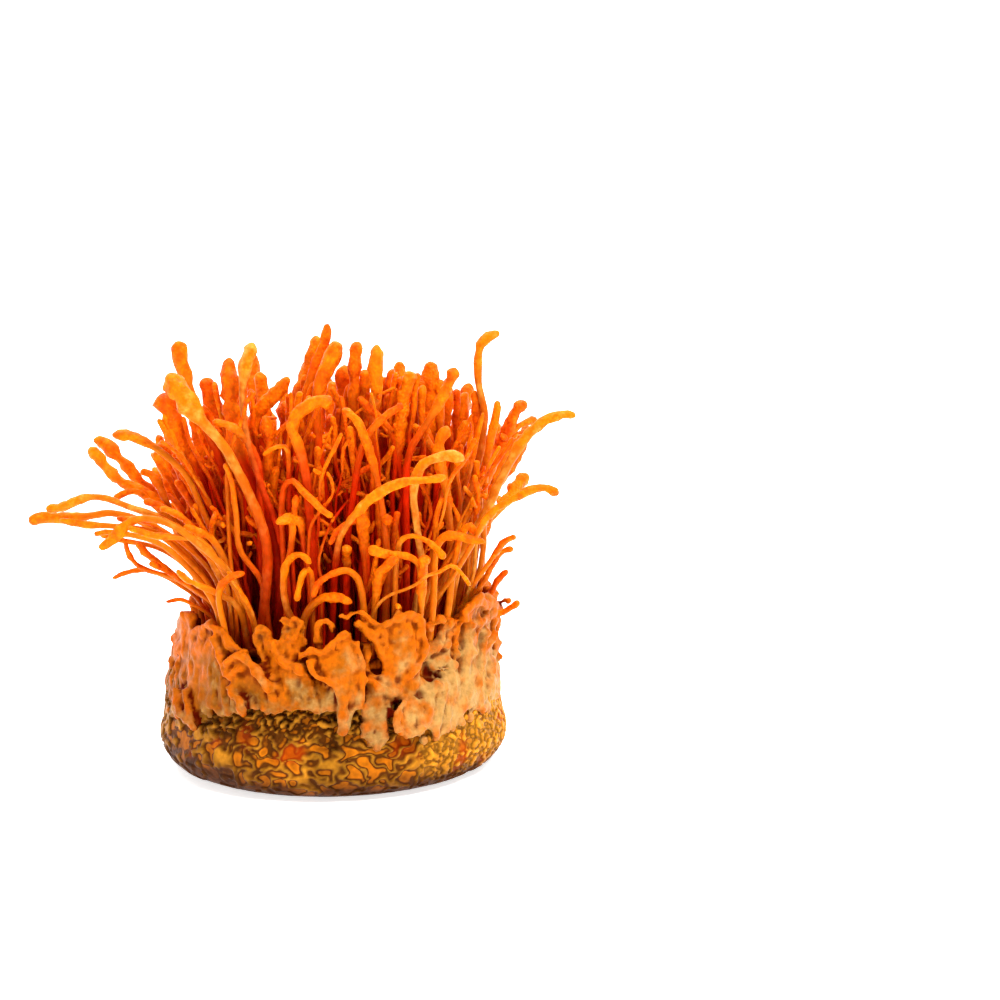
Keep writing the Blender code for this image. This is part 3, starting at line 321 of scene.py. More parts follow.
# Small stalks of the front: the way of each, as seen across and up on the axis plane, how far its root and
# its tip are behind that plane, and its stem and club radius.
FRONT_SPRIGS = (
    (((3, 30), (3.5, 50), (5, 65), (8, 80), (12.5, 86), (17.8, 90)), -24, -32.5, 0.9, 1.0),
    (((-20, 34), (-22, 39), (-27, 47.5), (-32.5, 55), (-40, 56.3), (-46, 57), (-51, 59)), -29, -36, 0.9, 1.0),
    (((-22.5, 34), (-24.5, 39), (-30, 42.2), (-35.5, 44.8), (-39, 48)), -28, -35, 0.9, 0.9),
    (((-16, 32), (-18, 45), (-23, 53), (-23.8, 62), (-25, 71), (-26.5, 75)), -26, -30, 0.8, 0.9),
    (((-21, 32), (-24, 44), (-28, 52), (-31, 56.5), (-37, 59.3)), -22, -30, 0.9, 0.9),
    (((-28, 32), (-31, 50), (-35, 65), (-39, 76), (-43.5, 79.7)), 0, 0, 1.2, 1.5),
    (((-29.5, 33), (-34, 40.5), (-38.5, 44), (-44, 47), (-50, 47.9), (-55.2, 45.7)), -8, -10, 0.6, 0.7),
    (((-9, 32), (-11.5, 38), (-12.4, 45), (-11, 50.3), (-8, 51.8), (-5.4, 49.5)), -30, -34, 1.0, 1.0),
    (((10, 32), (9, 42), (8.3, 55), (7.6, 63)), -24, -31, 1.1, 1.5),
    (((-8, 30), (-7, 36), (-4, 39.8), (0, 41.2), (4.8, 39.6)), -30, -37, 1.1, 1.2),
    (((-6, 42), (-7, 54), (-8, 60), (-9.5, 61.3), (-11.8, 61), (-14, 60)), -28, -33, 0.7, 1.3),
    (((-12, 45), (-12.5, 62), (-11, 70.7), (-8, 68.7), (-5.5, 66.5), (-3, 64), (0, 61.5)),
     -28, -34, 0.9, 1.0),
    (((-5, 34), (-5.5, 49), (-8, 45), (-9, 40)), -31, -35, 0.8, 0.9),
    (((8, 34), (7, 43.5), (5.5, 46.5), (3, 48), (-1, 46.5), (-4, 44), (-5, 41)), -31, -36, 0.9, 1.0),
    (((10, 34), (12, 47.5), (14.5, 49.5), (16, 51)), -31, -36, 1.0, 1.5),
    (((22, 40), (21.5, 50), (18, 51.4), (14, 51.8), (9, 53.5)), -30, -35, 0.6, 1.1),
    (((-10.8, 33), (-11.5, 37), (-12.3, 41.5), (-11.9, 47), (-10.4, 54), (-9.7, 60.5), (-8.7, 67)),
     -29, -31, 0.9, 1.0),
    (((-19.5, 33), (-19.8, 35), (-20.8, 38), (-22.4, 41), (-24.6, 44.5), (-26.7, 47.7)), -30, -34, 0.5, 0.6),
    (((-10, 50), (-10.5, 65), (-10.6, 75.4), (-11.3, 79), (-13.2, 79.4), (-15, 78), (-17, 77)),
     -28, -30, 0.6, 0.6),
    (((-6, 45), (-5.6, 55), (-5, 60), (-3.3, 62.3), (-1, 65.3), (0.7, 68), (0.5, 69.6), (-0.4, 71), (-1, 73)),
     -30, -33, 0.4, 0.4),
    (((8, 43), (8, 58), (6.3, 60.5), (3, 59.5), (1, 57.6), (-1, 54.3)), -28, -32, 0.6, 0.9),
    (((3.4, 44), (3.6, 52), (3.7, 53.6)), -24, -33, 0.9, 1.2),
    (((13, 48), (13.6, 59.5), (13.8, 61)), -23, -31, 1.1, 1.4),
    (((16, 33), (16.1, 37.5), (16.2, 38.7)), -28, -36, 0.9, 1.1),
    (((6.8, 37), (8, 41.3), (9.5, 45.6), (10.6, 50), (11.8, 56)), -27, -29, 0.6, 0.7),
    (((8, 35), (9, 38), (11, 42.4), (13.2, 46.7), (15, 52)), -28, -30, 0.6, 0.7),
    (((15, 34), (16, 50), (18, 56.5), (24, 55.5), (26.5, 53), (28, 51)), -29, -34, 0.9, 1.0),
    (((22, 36), (22.5, 44), (23, 52)), -31, -34, 0.9, 1.4),
    (((10, 35), (11.5, 39.3), (15, 42), (20, 43.5), (23, 46), (27, 47.5), (30, 49), (33, 46.5), (34.5, 44)),
     -33, -38, 0.45, 0.5),
    (((25, 36), (25.5, 50), (27, 56), (31, 56.8), (35, 55.5), (38, 55)), -28, -31, 0.9, 1.1),
    (((30, 40), (33, 58), (36, 68), (38, 66), (40, 65)), -18, -20, 0.8, 0.9),
    (((29, 38), (31, 52), (33, 58), (35, 59.5), (36, 57)), -24, -26, 0.9, 1.0),
    (((-26, 70), (-21, 88), (-20.5, 90.5), (-18.5, 93)), -27, -28, 0.6, 0.6),
    (((-18, 62), (-18, 75), (-22, 82), (-25, 84.5), (-29, 85.5)), -26, -28, 1.0, 1.3),
    (((-28, 36), (-28.5, 42.5), (-26, 46), (-22.5, 47.5)), -32, -36, 0.9, 1.0),
    (((33, 40), (38, 48), (43, 55), (46, 56.5)), -14, -16, 0.8, 1.0),
    (((33, 38), (38, 45), (42, 52), (45.5, 53.5)), -10, -12, 0.7, 0.9),
    (((34, 36), (39, 41), (42, 46), (44, 48)), -6, -8, 0.7, 0.9),
    (((36, 34), (42, 37), (45, 38.5), (47, 40)), -4, -6, 0.7, 0.9),
    (((-31, 42), (-39, 60), (-44, 71), (-47.5, 73)), -10, -12, 0.9, 1.2),
    (((-30, 42), (-42, 56), (-54, 59), (-60, 59.5), (-68, 60.5)), -24, -26, 0.7, 0.9),
    (((-29, 42), (-38, 57), (-46, 66), (-49, 68), (-52, 67.2), (-54.5, 66)), -16, -18, 0.8, 0.9),
    (((-30, 38), (-38, 45), (-46, 48), (-49, 49.5), (-50.5, 51), (-52, 55.5)), -14, -16, 0.7, 0.8),
    (((-30, 40), (-42, 54), (-55, 57.5), (-59.5, 57)), -28, -30, 0.8, 1.0),
    (((-30, 39), (-37, 44.5), (-42, 48.5), (-46, 51.5), (-49, 55)), -16, -18, 0.7, 1.3),
    (((-29, 37), (-35, 43), (-41, 47.5), (-46, 50)), -20, -22, 0.6, 0.7),
    (((-30, 42), (-38, 50), (-45, 54), (-52, 55.5), (-58, 57)), -14, -16, 0.7, 0.9),
    (((-29, 44), (-37, 54), (-46, 60), (-54, 61)), -22, -24, 0.7, 0.8),
    (((-30, 35), (-35, 39), (-38.5, 40.5), (-42, 39.8)), -18, -20, 0.5, 0.6),
    (((-28, 46), (-34, 58), (-42, 64), (-47, 65.5)), -22, -24, 0.8, 0.9),
    (((-27, 44), (-33, 56), (-38, 62), (-43, 64)), -26, -28, 0.6, 0.8),
    (((9, 60), (8.6, 80), (8.4, 90), (8.8, 98.5)), -10, -12, 1.2, 1.7),
    (((14, 60), (13.2, 80), (13, 90), (13.6, 96.5)), -6, -8, 1.1, 1.5),
    (((17, 60), (17, 80), (17.2, 90), (17, 95.8)), -6, -8, 1.1, 1.5),
    (((22, 60), (22, 80), (22.4, 90), (22.6, 96.2)), -8, -8, 1.1, 1.4),
    (((27, 60), (27, 80), (27.4, 90), (27.3, 96)), -6, -8, 1.0, 1.3),
    (((29, 60), (29, 80), (29, 90), (29, 96.3)), -2, -4, 0.9, 1.2),
    (((32.5, 58), (33, 80), (33.4, 88), (33.4, 92.6)), -8, -10, 1.2, 1.6),
    (((35.5, 58), (36, 80), (36, 88), (35.6, 93)), -12, -14, 0.9, 1.2),
    (((36.5, 56), (37.4, 75), (37.8, 83), (37.6, 88)), -10, -12, 0.8, 1.0),
    (((11, 60), (10.8, 80), (10.4, 88), (10.9, 93)), -3, -4, 1.2, 1.6),
    (((5.5, 60), (6.3, 80), (6.4, 90), (6.2, 96.5)), -3, -4, 1.2, 1.5),
    (((24.8, 60), (25, 80), (24.9, 90), (24.6, 95)), -2, -2, 1.2, 1.6),
    (((19.4, 60), (19.4, 80), (19.7, 90), (19, 95)), -2, -2, 1.2, 1.6),
    (((31, 60), (31.3, 80), (31.2, 88), (31, 93.4)), -2, -2, 1.0, 1.4),
    (((15.2, 60), (15.4, 80), (15, 88), (15.3, 92.5)), -12, -13, 0.9, 1.2),
    (((-22, 58), (-29, 76), (-33, 84), (-35.5, 89)), -4, -4, 1.2, 1.6),
    (((-20, 58), (-26, 76), (-29.5, 85), (-31, 90)), -2, -2, 1.2, 1.6),
    (((-18, 58), (-23, 76), (-26, 84), (-27.5, 88.5)), -6, -8, 1.1, 1.5),
    (((-15, 58), (-19, 76), (-21.5, 84), (-23, 88)), -2, -2, 1.1, 1.5),
    (((-24, 56), (-33, 72), (-38, 79), (-40.5, 83.5)), -4, -4, 1.1, 1.5),
)

# Sockets of a Mix node that mixes colours: its share, its two colours and its result.
SHARE, FIRST, SECOND, MIXED = 0, 6, 7, 2

# Tint of the shine on everything that is moist and orange.
MOIST_TINT = "#FFD9A0"


def linear(colour):
    """Linear RGB of an sRGB hex colour."""
    parts = [int(colour[k:k + 2], 16) / 255 for k in (1, 3, 5)]
    return tuple(part / 12.92 if part <= 0.04045 else ((part + 0.055) / 1.055) ** 2.4 for part in parts)


def colour_property(name, colour, description):
    """A colour that the user can change, from its sRGB hex value."""
    return FloatVectorProperty(
        name=name, description=description, default=linear(colour), size=3, min=0.0, max=1.0, subtype="COLOR"
    )


def length_property(name, metres, description):
    """A length in metres that the user can change."""
    return FloatProperty(
        name=name, description=description, default=metres, min=0.0, precision=5, subtype="DISTANCE",
        unit="LENGTH",
    )


def light_property(name, strength, description, unit="POWER"):
    """The strength of a light that the user can change."""
    return FloatProperty(name=name, description=description, default=strength, min=0.0, unit=unit)


class StalkSettings(PropertyGroup):
    """Sizes and colours of the stalks."""

    thin_stalks: IntProperty(
        name="Thin stalks", description="How many thin stalks fill the space between the main ones",
        default=860, min=0, max=1200,
    )
    spacing: length_property("Spacing", 0.0016, "Distance between the roots of neighbouring thin stalks")
    grain: length_property("Grain", 0.0008, "Width of the grains on the clubs, drawn coarse enough to show")
    pale_colour: colour_property("Pale stem", "#D08C34", "Colour of the palest, youngest stems")
    stem_colour: colour_property("Stem", "#CE6A0C", "Colour of the smooth lower stems")
    club_colour: colour_property("Club", "#EE7602", "Colour of the grainy clubs")
    ripe_colour: colour_property("Ripe club", "#D84C00", "Colour of the ripest clubs")
    # The deep stem colour is painted shade: the dark red that stems take deep in the bunch and low among the
    # stems, where little light reaches.
    deep_colour: colour_property("Shaded stem", "#C01C00", "Painted shade of the stems deep in the bunch")


class MyceliumSettings(PropertyGroup):
    """Sizes and colours of the frilled mycelium."""

    voxel: length_property("Voxel", 0.00055, "Size of the cells in which the frills are fused")
    thickness: length_property("Frill thickness", 0.0019, "Thickness of one frill")
    flesh_colour: colour_property("Flesh", "#9A580A", "Colour of the frills' smooth faces")
    pale_colour: colour_property("Pale flesh", "#BE8E4C", "Colour of the youngest, palest flesh")
    # The rim colour is also laid on bulges as a painted highlight.
    rim_colour: colour_property("Rim", "#CE6404", "Colour of the frills' rims and folds")
    # The crevice colour is painted shade, laid where the flesh lies sunk or hollow, on the frills' inner
    # faces and low towards the left.
    crevice_colour: colour_property("Crevice shade", "#560C00", "Colour of the creases between frills")


class BlockSettings(PropertyGroup):
    """Sizes and colours of the rice block."""

    marbling: length_property("Marbling", 0.0028, "Width of the marbled islands on the block's side")
    relief: length_property("Relief", 0.0005, "Height of the islands over the lines between them")
    ground_colour: colour_property("Ground", "#BC660C", "Colour of the mycelium between the islands")
    island_colour: colour_property("Islands", "#A86C18", "Colour of the rice islands")
    line_colour: colour_property("Lines", "#582C06", "Colour of the dark lines round the islands")
    patch_colour: colour_property("Patches", "#A63200", "Colour of the red patches")
    gold_colour: colour_property("Golden grains", "#C8801E", "Colour of the fine grains at the right")
    # The foot colour darkens the block towards its bottom, and is painted shade under the frills' hem and
    # over the left side.
    foot_colour: colour_property("Dark foot and shade", "#381604", "Colour of the block's darker foot, and painted shade under the frills and at the left")


class StageSettings(PropertyGroup):
    """Floor, backdrop and light."""

    floor_colour: colour_property("Floor", "#F6F5F3", "Colour of the plain pale floor")
    key_power: light_property("Key light", 9.4, "Power of the large front light")
    fill_power: light_property("Fill light", 0.8, "Power of the side fill light")
    back_power: light_property("Back light", 26.0, "Power of the light on the backdrop")
    floor_power: light_property("Floor light", 3.0, "Power of the light behind at the left")
    floor_glow: light_property("Floor glow", 0.7, "Light that comes up through the floor", unit="NONE")
    air: light_property("Surround", 0.36, "Strength of the even light all round", unit="NONE")


def plug(tree, item, inputs):
    """Sets a node's sockets to values, and links them where the value is a socket of another node."""
    for socket, value in inputs.items():
        if isinstance(value, bpy.types.NodeSocket):
            tree.links.new(value, item.inputs[socket])
        else:
            item.inputs[socket].default_value = value


def put(tree, kind, inputs=None, stops=None, **fields):
    """Adds a shader node, sets its fields and colour stops, and plugs in its sockets."""
    item = tree.nodes.new("ShaderNode" + kind)
    for field, value in fields.items():
        setattr(item, field, value)
    if stops:
        elements = item.color_ramp.elements
        while len(elements) < len(stops):
            elements.new(1.0)
        for element, (position, colour) in zip(elements, stops):
            element.position = position
            element.color = (*colour, 1.0)
    plug(tree, item, inputs or {})
    return item


def start_material(name):
    """An empty node material, its tree and its Principled shader."""
    material = bpy.data.materials.new(name)
    material.use_nodes = True
    return material, material.node_tree, material.node_tree.nodes["Principled BSDF"]


def fruiting_flesh():
    """Fresh fungus flesh: smooth waxy stems that deepen into clubs covered in fine grains."""
    ui = bpy.context.scene.cordyceps_stalks
    material, tree, shader = start_material("fruiting_flesh")
    place = put(tree, "TexCoord").outputs["Object"]
    club = put(tree, "Attribute", attribute_name="club").outputs["Fac"]
    deep = put(tree, "Attribute", attribute_name="deep").outputs["Fac"]
    tone = put(tree, "Attribute", attribute_name="tone").outputs["Fac"]

    # Colour: pale along the stem, orange to rust over the club, and blotchy. Deep in the bunch and low among
    # the stems it turns dark red, which is painted shade.
    blotch = put(tree, "TexNoise", {"Vector": place, "Scale": 1 / (5 * MM), "Detail": 4.0}).outputs["Fac"]
    mottle = put(tree, "TexNoise", {"Vector": place, "Scale": 1 / (1.8 * MM), "Detail": 3.0}).outputs["Fac"]
    ripeness = put(tree, "Math", {0: blotch, 1: 1.6, 2: -1.45}, operation="MULTIPLY_ADD").outputs["Value"]
    ripeness = put(tree, "Math", {0: ripeness, 1: tone}, operation="ADD").outputs["Value"]
    ripeness = put(tree, "Math", {0: mottle, 1: 1.3, 2: ripeness}, operation="MULTIPLY_ADD").outputs["Value"]
    ripeness = put(tree, "Math", {0: club, 1: 0.2, 2: ripeness}, operation="MULTIPLY_ADD").outputs["Value"]
    young = put(tree, "MapRange", {
        "Value": ripeness, "From Min": -0.15, "From Max": -0.65, "To Min": 0.0, "To Max": 1.0,
    }).outputs["Result"]
    head = put(tree, "Mix", {
        SHARE: ripeness, FIRST: (*ui.club_colour, 1.0), SECOND: (*ui.ripe_colour, 1.0),
    }, data_type="RGBA").outputs[MIXED]
    stem = put(tree, "Mix", {
        SHARE: ripeness, FIRST: (*ui.stem_colour, 1.0), SECOND: (*ui.club_colour, 1.0),
    }, data_type="RGBA").outputs[MIXED]
    body = put(tree, "Mix", {SHARE: club, FIRST: stem, SECOND: head}, data_type="RGBA").outputs[MIXED]
    body = put(tree, "Mix", {
        SHARE: young, FIRST: body, SECOND: (*ui.pale_colour, 1.0),
    }, data_type="RGBA").outputs[MIXED]
    sunk = put(tree, "Mix", {
        SHARE: deep, FIRST: body, SECOND: (*ui.deep_colour, 1.0),
    }, data_type="RGBA").outputs[MIXED]
    speckled = put(tree, "HueSaturation", {
        "Color": sunk,
        "Value": put(tree, "MapRange", {
            "Value": mottle, "From Min": 0.3, "From Max": 0.7, "To Min": 1.18, "To Max": 0.76,
        }).outputs["Result"],
    }).outputs["Color"]

    # Grains: each is the mouth of a tiny spore chamber, a paler dot in a darker skin.
    grain = put(tree, "TexVoronoi", {"Vector": place, "Scale": 1 / ui.grain}).outputs["Distance"]
    dot = put(tree, "MapRange", {
        "Value": grain, "From Min": 0.15, "From Max": 0.62, "To Min": 1.0, "To Max": 0.0,
    }).outputs["Result"]
    grainy = put(tree, "Math", {0: dot, 1: club}, operation="MULTIPLY").outputs["Value"]
    dotted = put(tree, "HueSaturation", {
        "Color": speckled,
        "Value": put(tree, "MapRange", {"Value": grainy, "To Min": 0.95, "To Max": 1.16}).outputs["Result"],
    }).outputs["Color"]
    fibre = put(tree, "TexNoise", {"Vector": place, "Scale": 1 / (0.8 * MM), "Detail": 2.0}).outputs["Fac"]
    height = put(tree, "Math", {0: fibre, 1: 0.35, 2: grainy}, operation="MULTIPLY_ADD").outputs["Value"]
    bump = put(tree, "Bump", {"Height": height, "Strength": 0.8, "Distance": 0.16 * MM}).outputs["Normal"]
    rough = put(tree, "MapRange", {"Value": club, "To Min": 0.34, "To Max": 0.46}).outputs["Result"]
    # The shine also fades where the painted shade is deep.
    gloss = put(tree, "MapRange", {"Value": deep, "To Min": 0.12, "To Max": 0.03}).outputs["Result"]
    plug(tree, shader, {
        "Base Color": dotted,
        "Roughness": rough,
        "Normal": bump,
        "Specular IOR Level": gloss,
        "Specular Tint": (*linear(MOIST_TINT), 1.0),
        "Subsurface Weight": 0.3,
        "Subsurface Radius": (1.0, 0.3, 0.06),
        "Subsurface Scale": 1.4 * MM,
    })
    return material


def frilled_mycelium():
    """Fleshy fungus tissue: matt cream faces and orange rims, with painted shade darkening the creases and a
    painted highlight of rim colour on bulges.
    """
    ui = bpy.context.scene.cordyceps_mycelium
    material, tree, shader = start_material("frilled_mycelium")
    place = put(tree, "TexCoord").outputs["Object"]
    rim = put(tree, "Attribute", attribute_name="rim").outputs["Fac"]
    crease = put(tree, "Attribute", attribute_name="crease").outputs["Fac"]
    blotch = put(tree, "TexNoise", {"Vector": place, "Scale": 1 / (5 * MM), "Detail": 5.0}).outputs["Fac"]
    spread = put(tree, "Math", {0: blotch, 1: 2.4, 2: -1.2}, operation="MULTIPLY_ADD").outputs["Value"]
    toward = put(tree, "Math", {0: rim, 1: spread}, operation="ADD", use_clamp=True).outputs["Value"]
    # The flesh is palest near the hems and at the right.
    split = put(tree, "SeparateXYZ", {"Vector": place})
    shift = put(tree, "Math", {0: split.outputs["X"], 1: -4.0, 2: blotch}, operation="MULTIPLY_ADD")
    shift = put(tree, "Math", {
        0: split.outputs["Z"], 1: 11.0, 2: shift.outputs["Value"],
    }, operation="MULTIPLY_ADD").outputs["Value"]
    young = put(tree, "MapRange", {"Value": shift, "From Min": 0.66, "From Max": 0.86}).outputs["Result"]
    flesh = put(tree, "Mix", {
        SHARE: young, FIRST: (*ui.pale_colour, 1.0), SECOND: (*ui.flesh_colour, 1.0),
    }, data_type="RGBA").outputs[MIXED]
    faces = put(tree, "Mix", {
        SHARE: toward, FIRST: flesh, SECOND: (*ui.rim_colour, 1.0),
    }, data_type="RGBA").outputs[MIXED]
    stained = put(tree, "Mix", {
        SHARE: crease, FIRST: faces, SECOND: (*ui.crevice_colour, 1.0),
    }, data_type="RGBA").outputs[MIXED]
    fine = put(tree, "TexNoise", {"Vector": place, "Scale": 1 / (1.1 * MM), "Detail": 5.0, "Roughness": 0.6})
    bump = put(tree, "Bump", {"Height": fine.outputs["Fac"], "Strength": 0.45, "Distance": 0.4 * MM})
    # The shine also fades in the painted shade of the creases.
    gloss = put(tree, "MapRange", {"Value": crease, "To Min": 0.1, "To Max": 0.01}).outputs["Result"]
    mottled = put(tree, "HueSaturation", {
        "Color": stained,
        "Value": put(tree, "MapRange", {
            "Value": fine.outputs["Fac"], "From Min": 0.3, "From Max": 0.7, "To Min": 0.7, "To Max": 1.12,
        }).outputs["Result"],
    }).outputs["Color"]
    plug(tree, shader, {
        "Base Color": mottled,
        "Roughness": 0.42,
        "Normal": bump.outputs["Normal"],
        "Specular IOR Level": gloss,
        "Specular Tint": (*linear(MOIST_TINT), 1.0),
        "Subsurface Weight": 0.25,
        "Subsurface Radius": (1.0, 0.4, 0.16),
        "Subsurface Scale": 1.8 * MM,
    })
    return material


def marbled_rice():
    """Steamed rice bound by mycelium and pressed against glass: islands with dark edges in orange skin."""
    ui = bpy.context.scene.cordyceps_block
    material, tree, shader = start_material("marbled_rice")
    place = put(tree, "TexCoord").outputs["Object"]
    marble = put(tree, "Attribute", attribute_name="marble").outputs["Fac"]
    patch = put(tree, "Attribute", attribute_name="patch").outputs["Fac"]
    low = put(tree, "Attribute", attribute_name="low").outputs["Fac"]
    gold = put(tree, "Attribute", attribute_name="gold").outputs["Fac"]
    ground, island, line = (tuple(c) for c in (ui.ground_colour, ui.island_colour, ui.line_colour))
    edge = tuple(0.55 * a + 0.45 * b for a, b in zip(island, line))
    pale = tuple(min(1.0, 1.3 * a) for a in island)
    bands = put(tree, "ValToRGB", {"Fac": marble}, stops=(
        (0.0, tuple(0.75 * a for a in ground)), (0.18, ground), (0.29, ground), (0.38, line), (0.47, line),
        (0.55, edge), (0.63, island), (0.75, pale), (1.0, pale),
    )).outputs["Color"]
    tones = put(tree, "TexNoise", {"Vector": place, "Scale": 1 / (5 * MM), "Detail": 3.0}).outputs["Fac"]
    bands = put(tree, "HueSaturation", {
        "Color": bands,
        "Value": put(tree, "MapRange", {
            "Value": tones, "From Min": 0.3, "From Max": 0.7, "To Min": 0.68, "To Max": 1.3,
        }).outputs["Result"],
    }).outputs["Color"]
    fine = put(tree, "TexNoise", {"Vector": place, "Scale": 1 / (1.4 * MM), "Detail": 4.0}).outputs["Fac"]
    grains = put(tree, "ValToRGB", {"Fac": marble}, stops=(
        (0.3, tuple(0.75 * a for a in ui.gold_colour)), (0.42, tuple(0.4 * a for a in ui.gold_colour)),
        (0.48, tuple(0.4 * a for a in ui.gold_colour)), (0.58, tuple(ui.gold_colour)),
        (0.8, tuple(min(1.0, 1.35 * a) for a in ui.gold_colour)),
    )).outputs["Color"]
    bands = put(tree, "Mix", {SHARE: gold, FIRST: bands, SECOND: grains}, data_type="RGBA").outputs[MIXED]
    red = put(tree, "Mix", {
        SHARE: patch, FIRST: bands, SECOND: (*ui.patch_colour, 1.0),
    }, data_type="RGBA").outputs[MIXED]
    # Darker towards the bottom, with painted shade under the frills' hem and on the left side.
    dark_foot_and_shade = put(tree, "Mix", {
        SHARE: low, FIRST: red, SECOND: (*ui.foot_colour, 1.0),
    }, data_type="RGBA").outputs[MIXED]
    mottled = put(tree, "HueSaturation", {
        "Color": dark_foot_and_shade,
        "Value": put(tree, "MapRange", {
            "Value": fine, "From Min": 0.3, "From Max": 0.7, "To Min": 0.75, "To Max": 1.2,
        }).outputs["Result"],
    }).outputs["Color"]
    bump = put(tree, "Bump", {"Height": fine, "Strength": 0.5, "Distance": 0.3 * MM}).outputs["Normal"]
    plug(tree, shader, {
        "Base Color": mottled,
        "Roughness": 0.45,
        "Normal": bump,
        "Specular IOR Level": 0.06,
        "Specular Tint": (*linear(MOIST_TINT), 1.0),
        "Subsurface Weight": 0.15,
        "Subsurface Radius": (1.0, 0.45, 0.2),
        "Subsurface Scale": 1.5 * MM,
    })
    return material


def pale_floor():
    """Plain milky acrylic lit from below, as on a photographer's table, which takes the shadows away."""
    ui = bpy.context.scene.cordyceps_stage
    material, tree, shader = start_material("pale_floor")
    place = put(tree, "TexCoord").outputs["Object"]
    tooth = put(tree, "TexNoise", {"Vector": place, "Scale": 1 / (2 * MM), "Detail": 2.0}).outputs["Fac"]
    bump = put(tree, "Bump", {"Height": tooth, "Strength": 0.05, "Distance": 0.1 * MM}).outputs["Normal"]
    plug(tree, shader, {
        "Base Color": (*ui.floor_colour, 1.0),
        "Roughness": 0.85,
        "Normal": bump,
        "Emission Color": (1.0, 1.0, 1.0, 1.0),
        "Emission Strength": ui.floor_glow,
    })
    return material


def once(maker):
    """The maker's material, made the first time that a piece asks for it."""
    return bpy.data.materials.get(maker.__name__) or maker()


def finish_piece(name, mesh, maker, replaced=()):
    """Smooth-shades a mesh that is in metres, gives it its material, and sets it on the frame."""
    mesh.shade_smooth()
    mesh.materials.append(once(maker))
    piece = bpy.data.objects.new(name, mesh)
    bpy.context.scene.collection.objects.link(piece)
    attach(piece, "root")
    if replaced:
        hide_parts(*replaced)
    return piece


def as_mesh(bm, name, scale=1.0):
    """The bmesh, scaled, as a mesh of this name. It frees the bmesh."""
    bmesh.ops.scale(bm, vec=(scale, scale, scale), verts=bm.verts)
    mesh = bpy.data.meshes.new(name)
    bm.to_mesh(mesh)
    bm.free()
    return mesh


def take_in(bm, mesh):
    """Adds a mesh to a bmesh and removes the mesh."""
    bm.from_mesh(mesh)
    bpy.data.meshes.remove(mesh)


def mark(mesh, **values):
    """Gives each vertex of a mesh the named values that its material reads."""
    for label, value in values.items():
        marks = mesh.attributes.new(label, "FLOAT", "POINT")
        marks.data.foreach_set("value", np.array(value, np.float32))


def tree_of(spots):
    """A tree that finds which of these spots are near a place."""
    tree = KDTree(len(spots))
    for k, spot in enumerate(spots):
        tree.insert(spot, k)
    tree.balance()
    return tree


def at_bearing(bearing, radius, height):
    """The point at this bearing, radius and height."""
    turn = math.radians(bearing)
    return Vector((radius * math.sin(turn), -radius * math.cos(turn), height))


def outward(spot):
    """The level direction from the axis to a spot."""
    return np.array((spot[0], spot[1], 0)) / np.hypot(spot[0], spot[1])


def lathe(outline, steps):
    """A bmesh, in millimetres, of an outline of radii and heights turned round the axis in so many steps."""
    bm = bmesh.new()
    last = len(outline) - 1
    bmesh.ops.create_grid(bm, x_segments=steps, y_segments=last, size=0.5)
    for vert in bm.verts:
        radius, height = outline[round((vert.co.y + 0.5) * last)]
        vert.co = at_bearing(360 * (vert.co.x + 0.5), radius, height)
    bmesh.ops.remove_doubles(bm, verts=bm.verts, dist=0.002)
    bmesh.ops.recalc_face_normals(bm, faces=bm.faces[:])
    return bm


def as_seen(spots):
    """Where spots are seen across and up on the axis plane, and how far behind that plane they are."""
    share = -EYE.y / (spots[:, 1] - EYE.y)
    across = EYE.x + (spots[:, 0] - EYE.x) * share
    up = EYE.z + (spots[:, 2] - EYE.z) * share
    return np.column_stack([across, up, spots[:, 1]])


def along_sight(across, up, behind):
    """The place, this far behind the axis plane, that is seen at across and up on that plane."""
    share = (behind - EYE.y) / -EYE.y
    return np.array((EYE.x + (across - EYE.x) * share, behind, EYE.z + (up - EYE.z) * share))


def smooth_step(low, high, value):
    """0 below low, 1 above high and an even curve between them."""
    share = np.clip((value - low) / (high - low), 0, 1)
    return share * share * (3 - 2 * share)


def smooth_line(points, shares):
    """Points at these shares of the length of a smooth curve through the given points."""
    points = np.array(points, float)
    padded = np.vstack([2 * points[0] - points[1], points, 2 * points[-1] - points[-2]])
    step = (np.arange(10) / 10)[:, None]
    runs = []
    for a, b, c, d in zip(padded, padded[1:], padded[2:], padded[3:]):
        square, cube = 2 * a - 5 * b + 4 * c - d, 3 * b - a - 3 * c + d
        runs.append(0.5 * (2 * b + (c - a) * step + square * step**2 + cube * step**3))
    line = np.vstack([*runs, points[-1]])
    run = np.concatenate([[0], np.cumsum(np.linalg.norm(np.diff(line, axis=0), axis=1))])
    wanted = np.asarray(shares) * run[-1]
    return np.stack([np.interp(wanted, run, line[:, k]) for k in range(3)], axis=1)


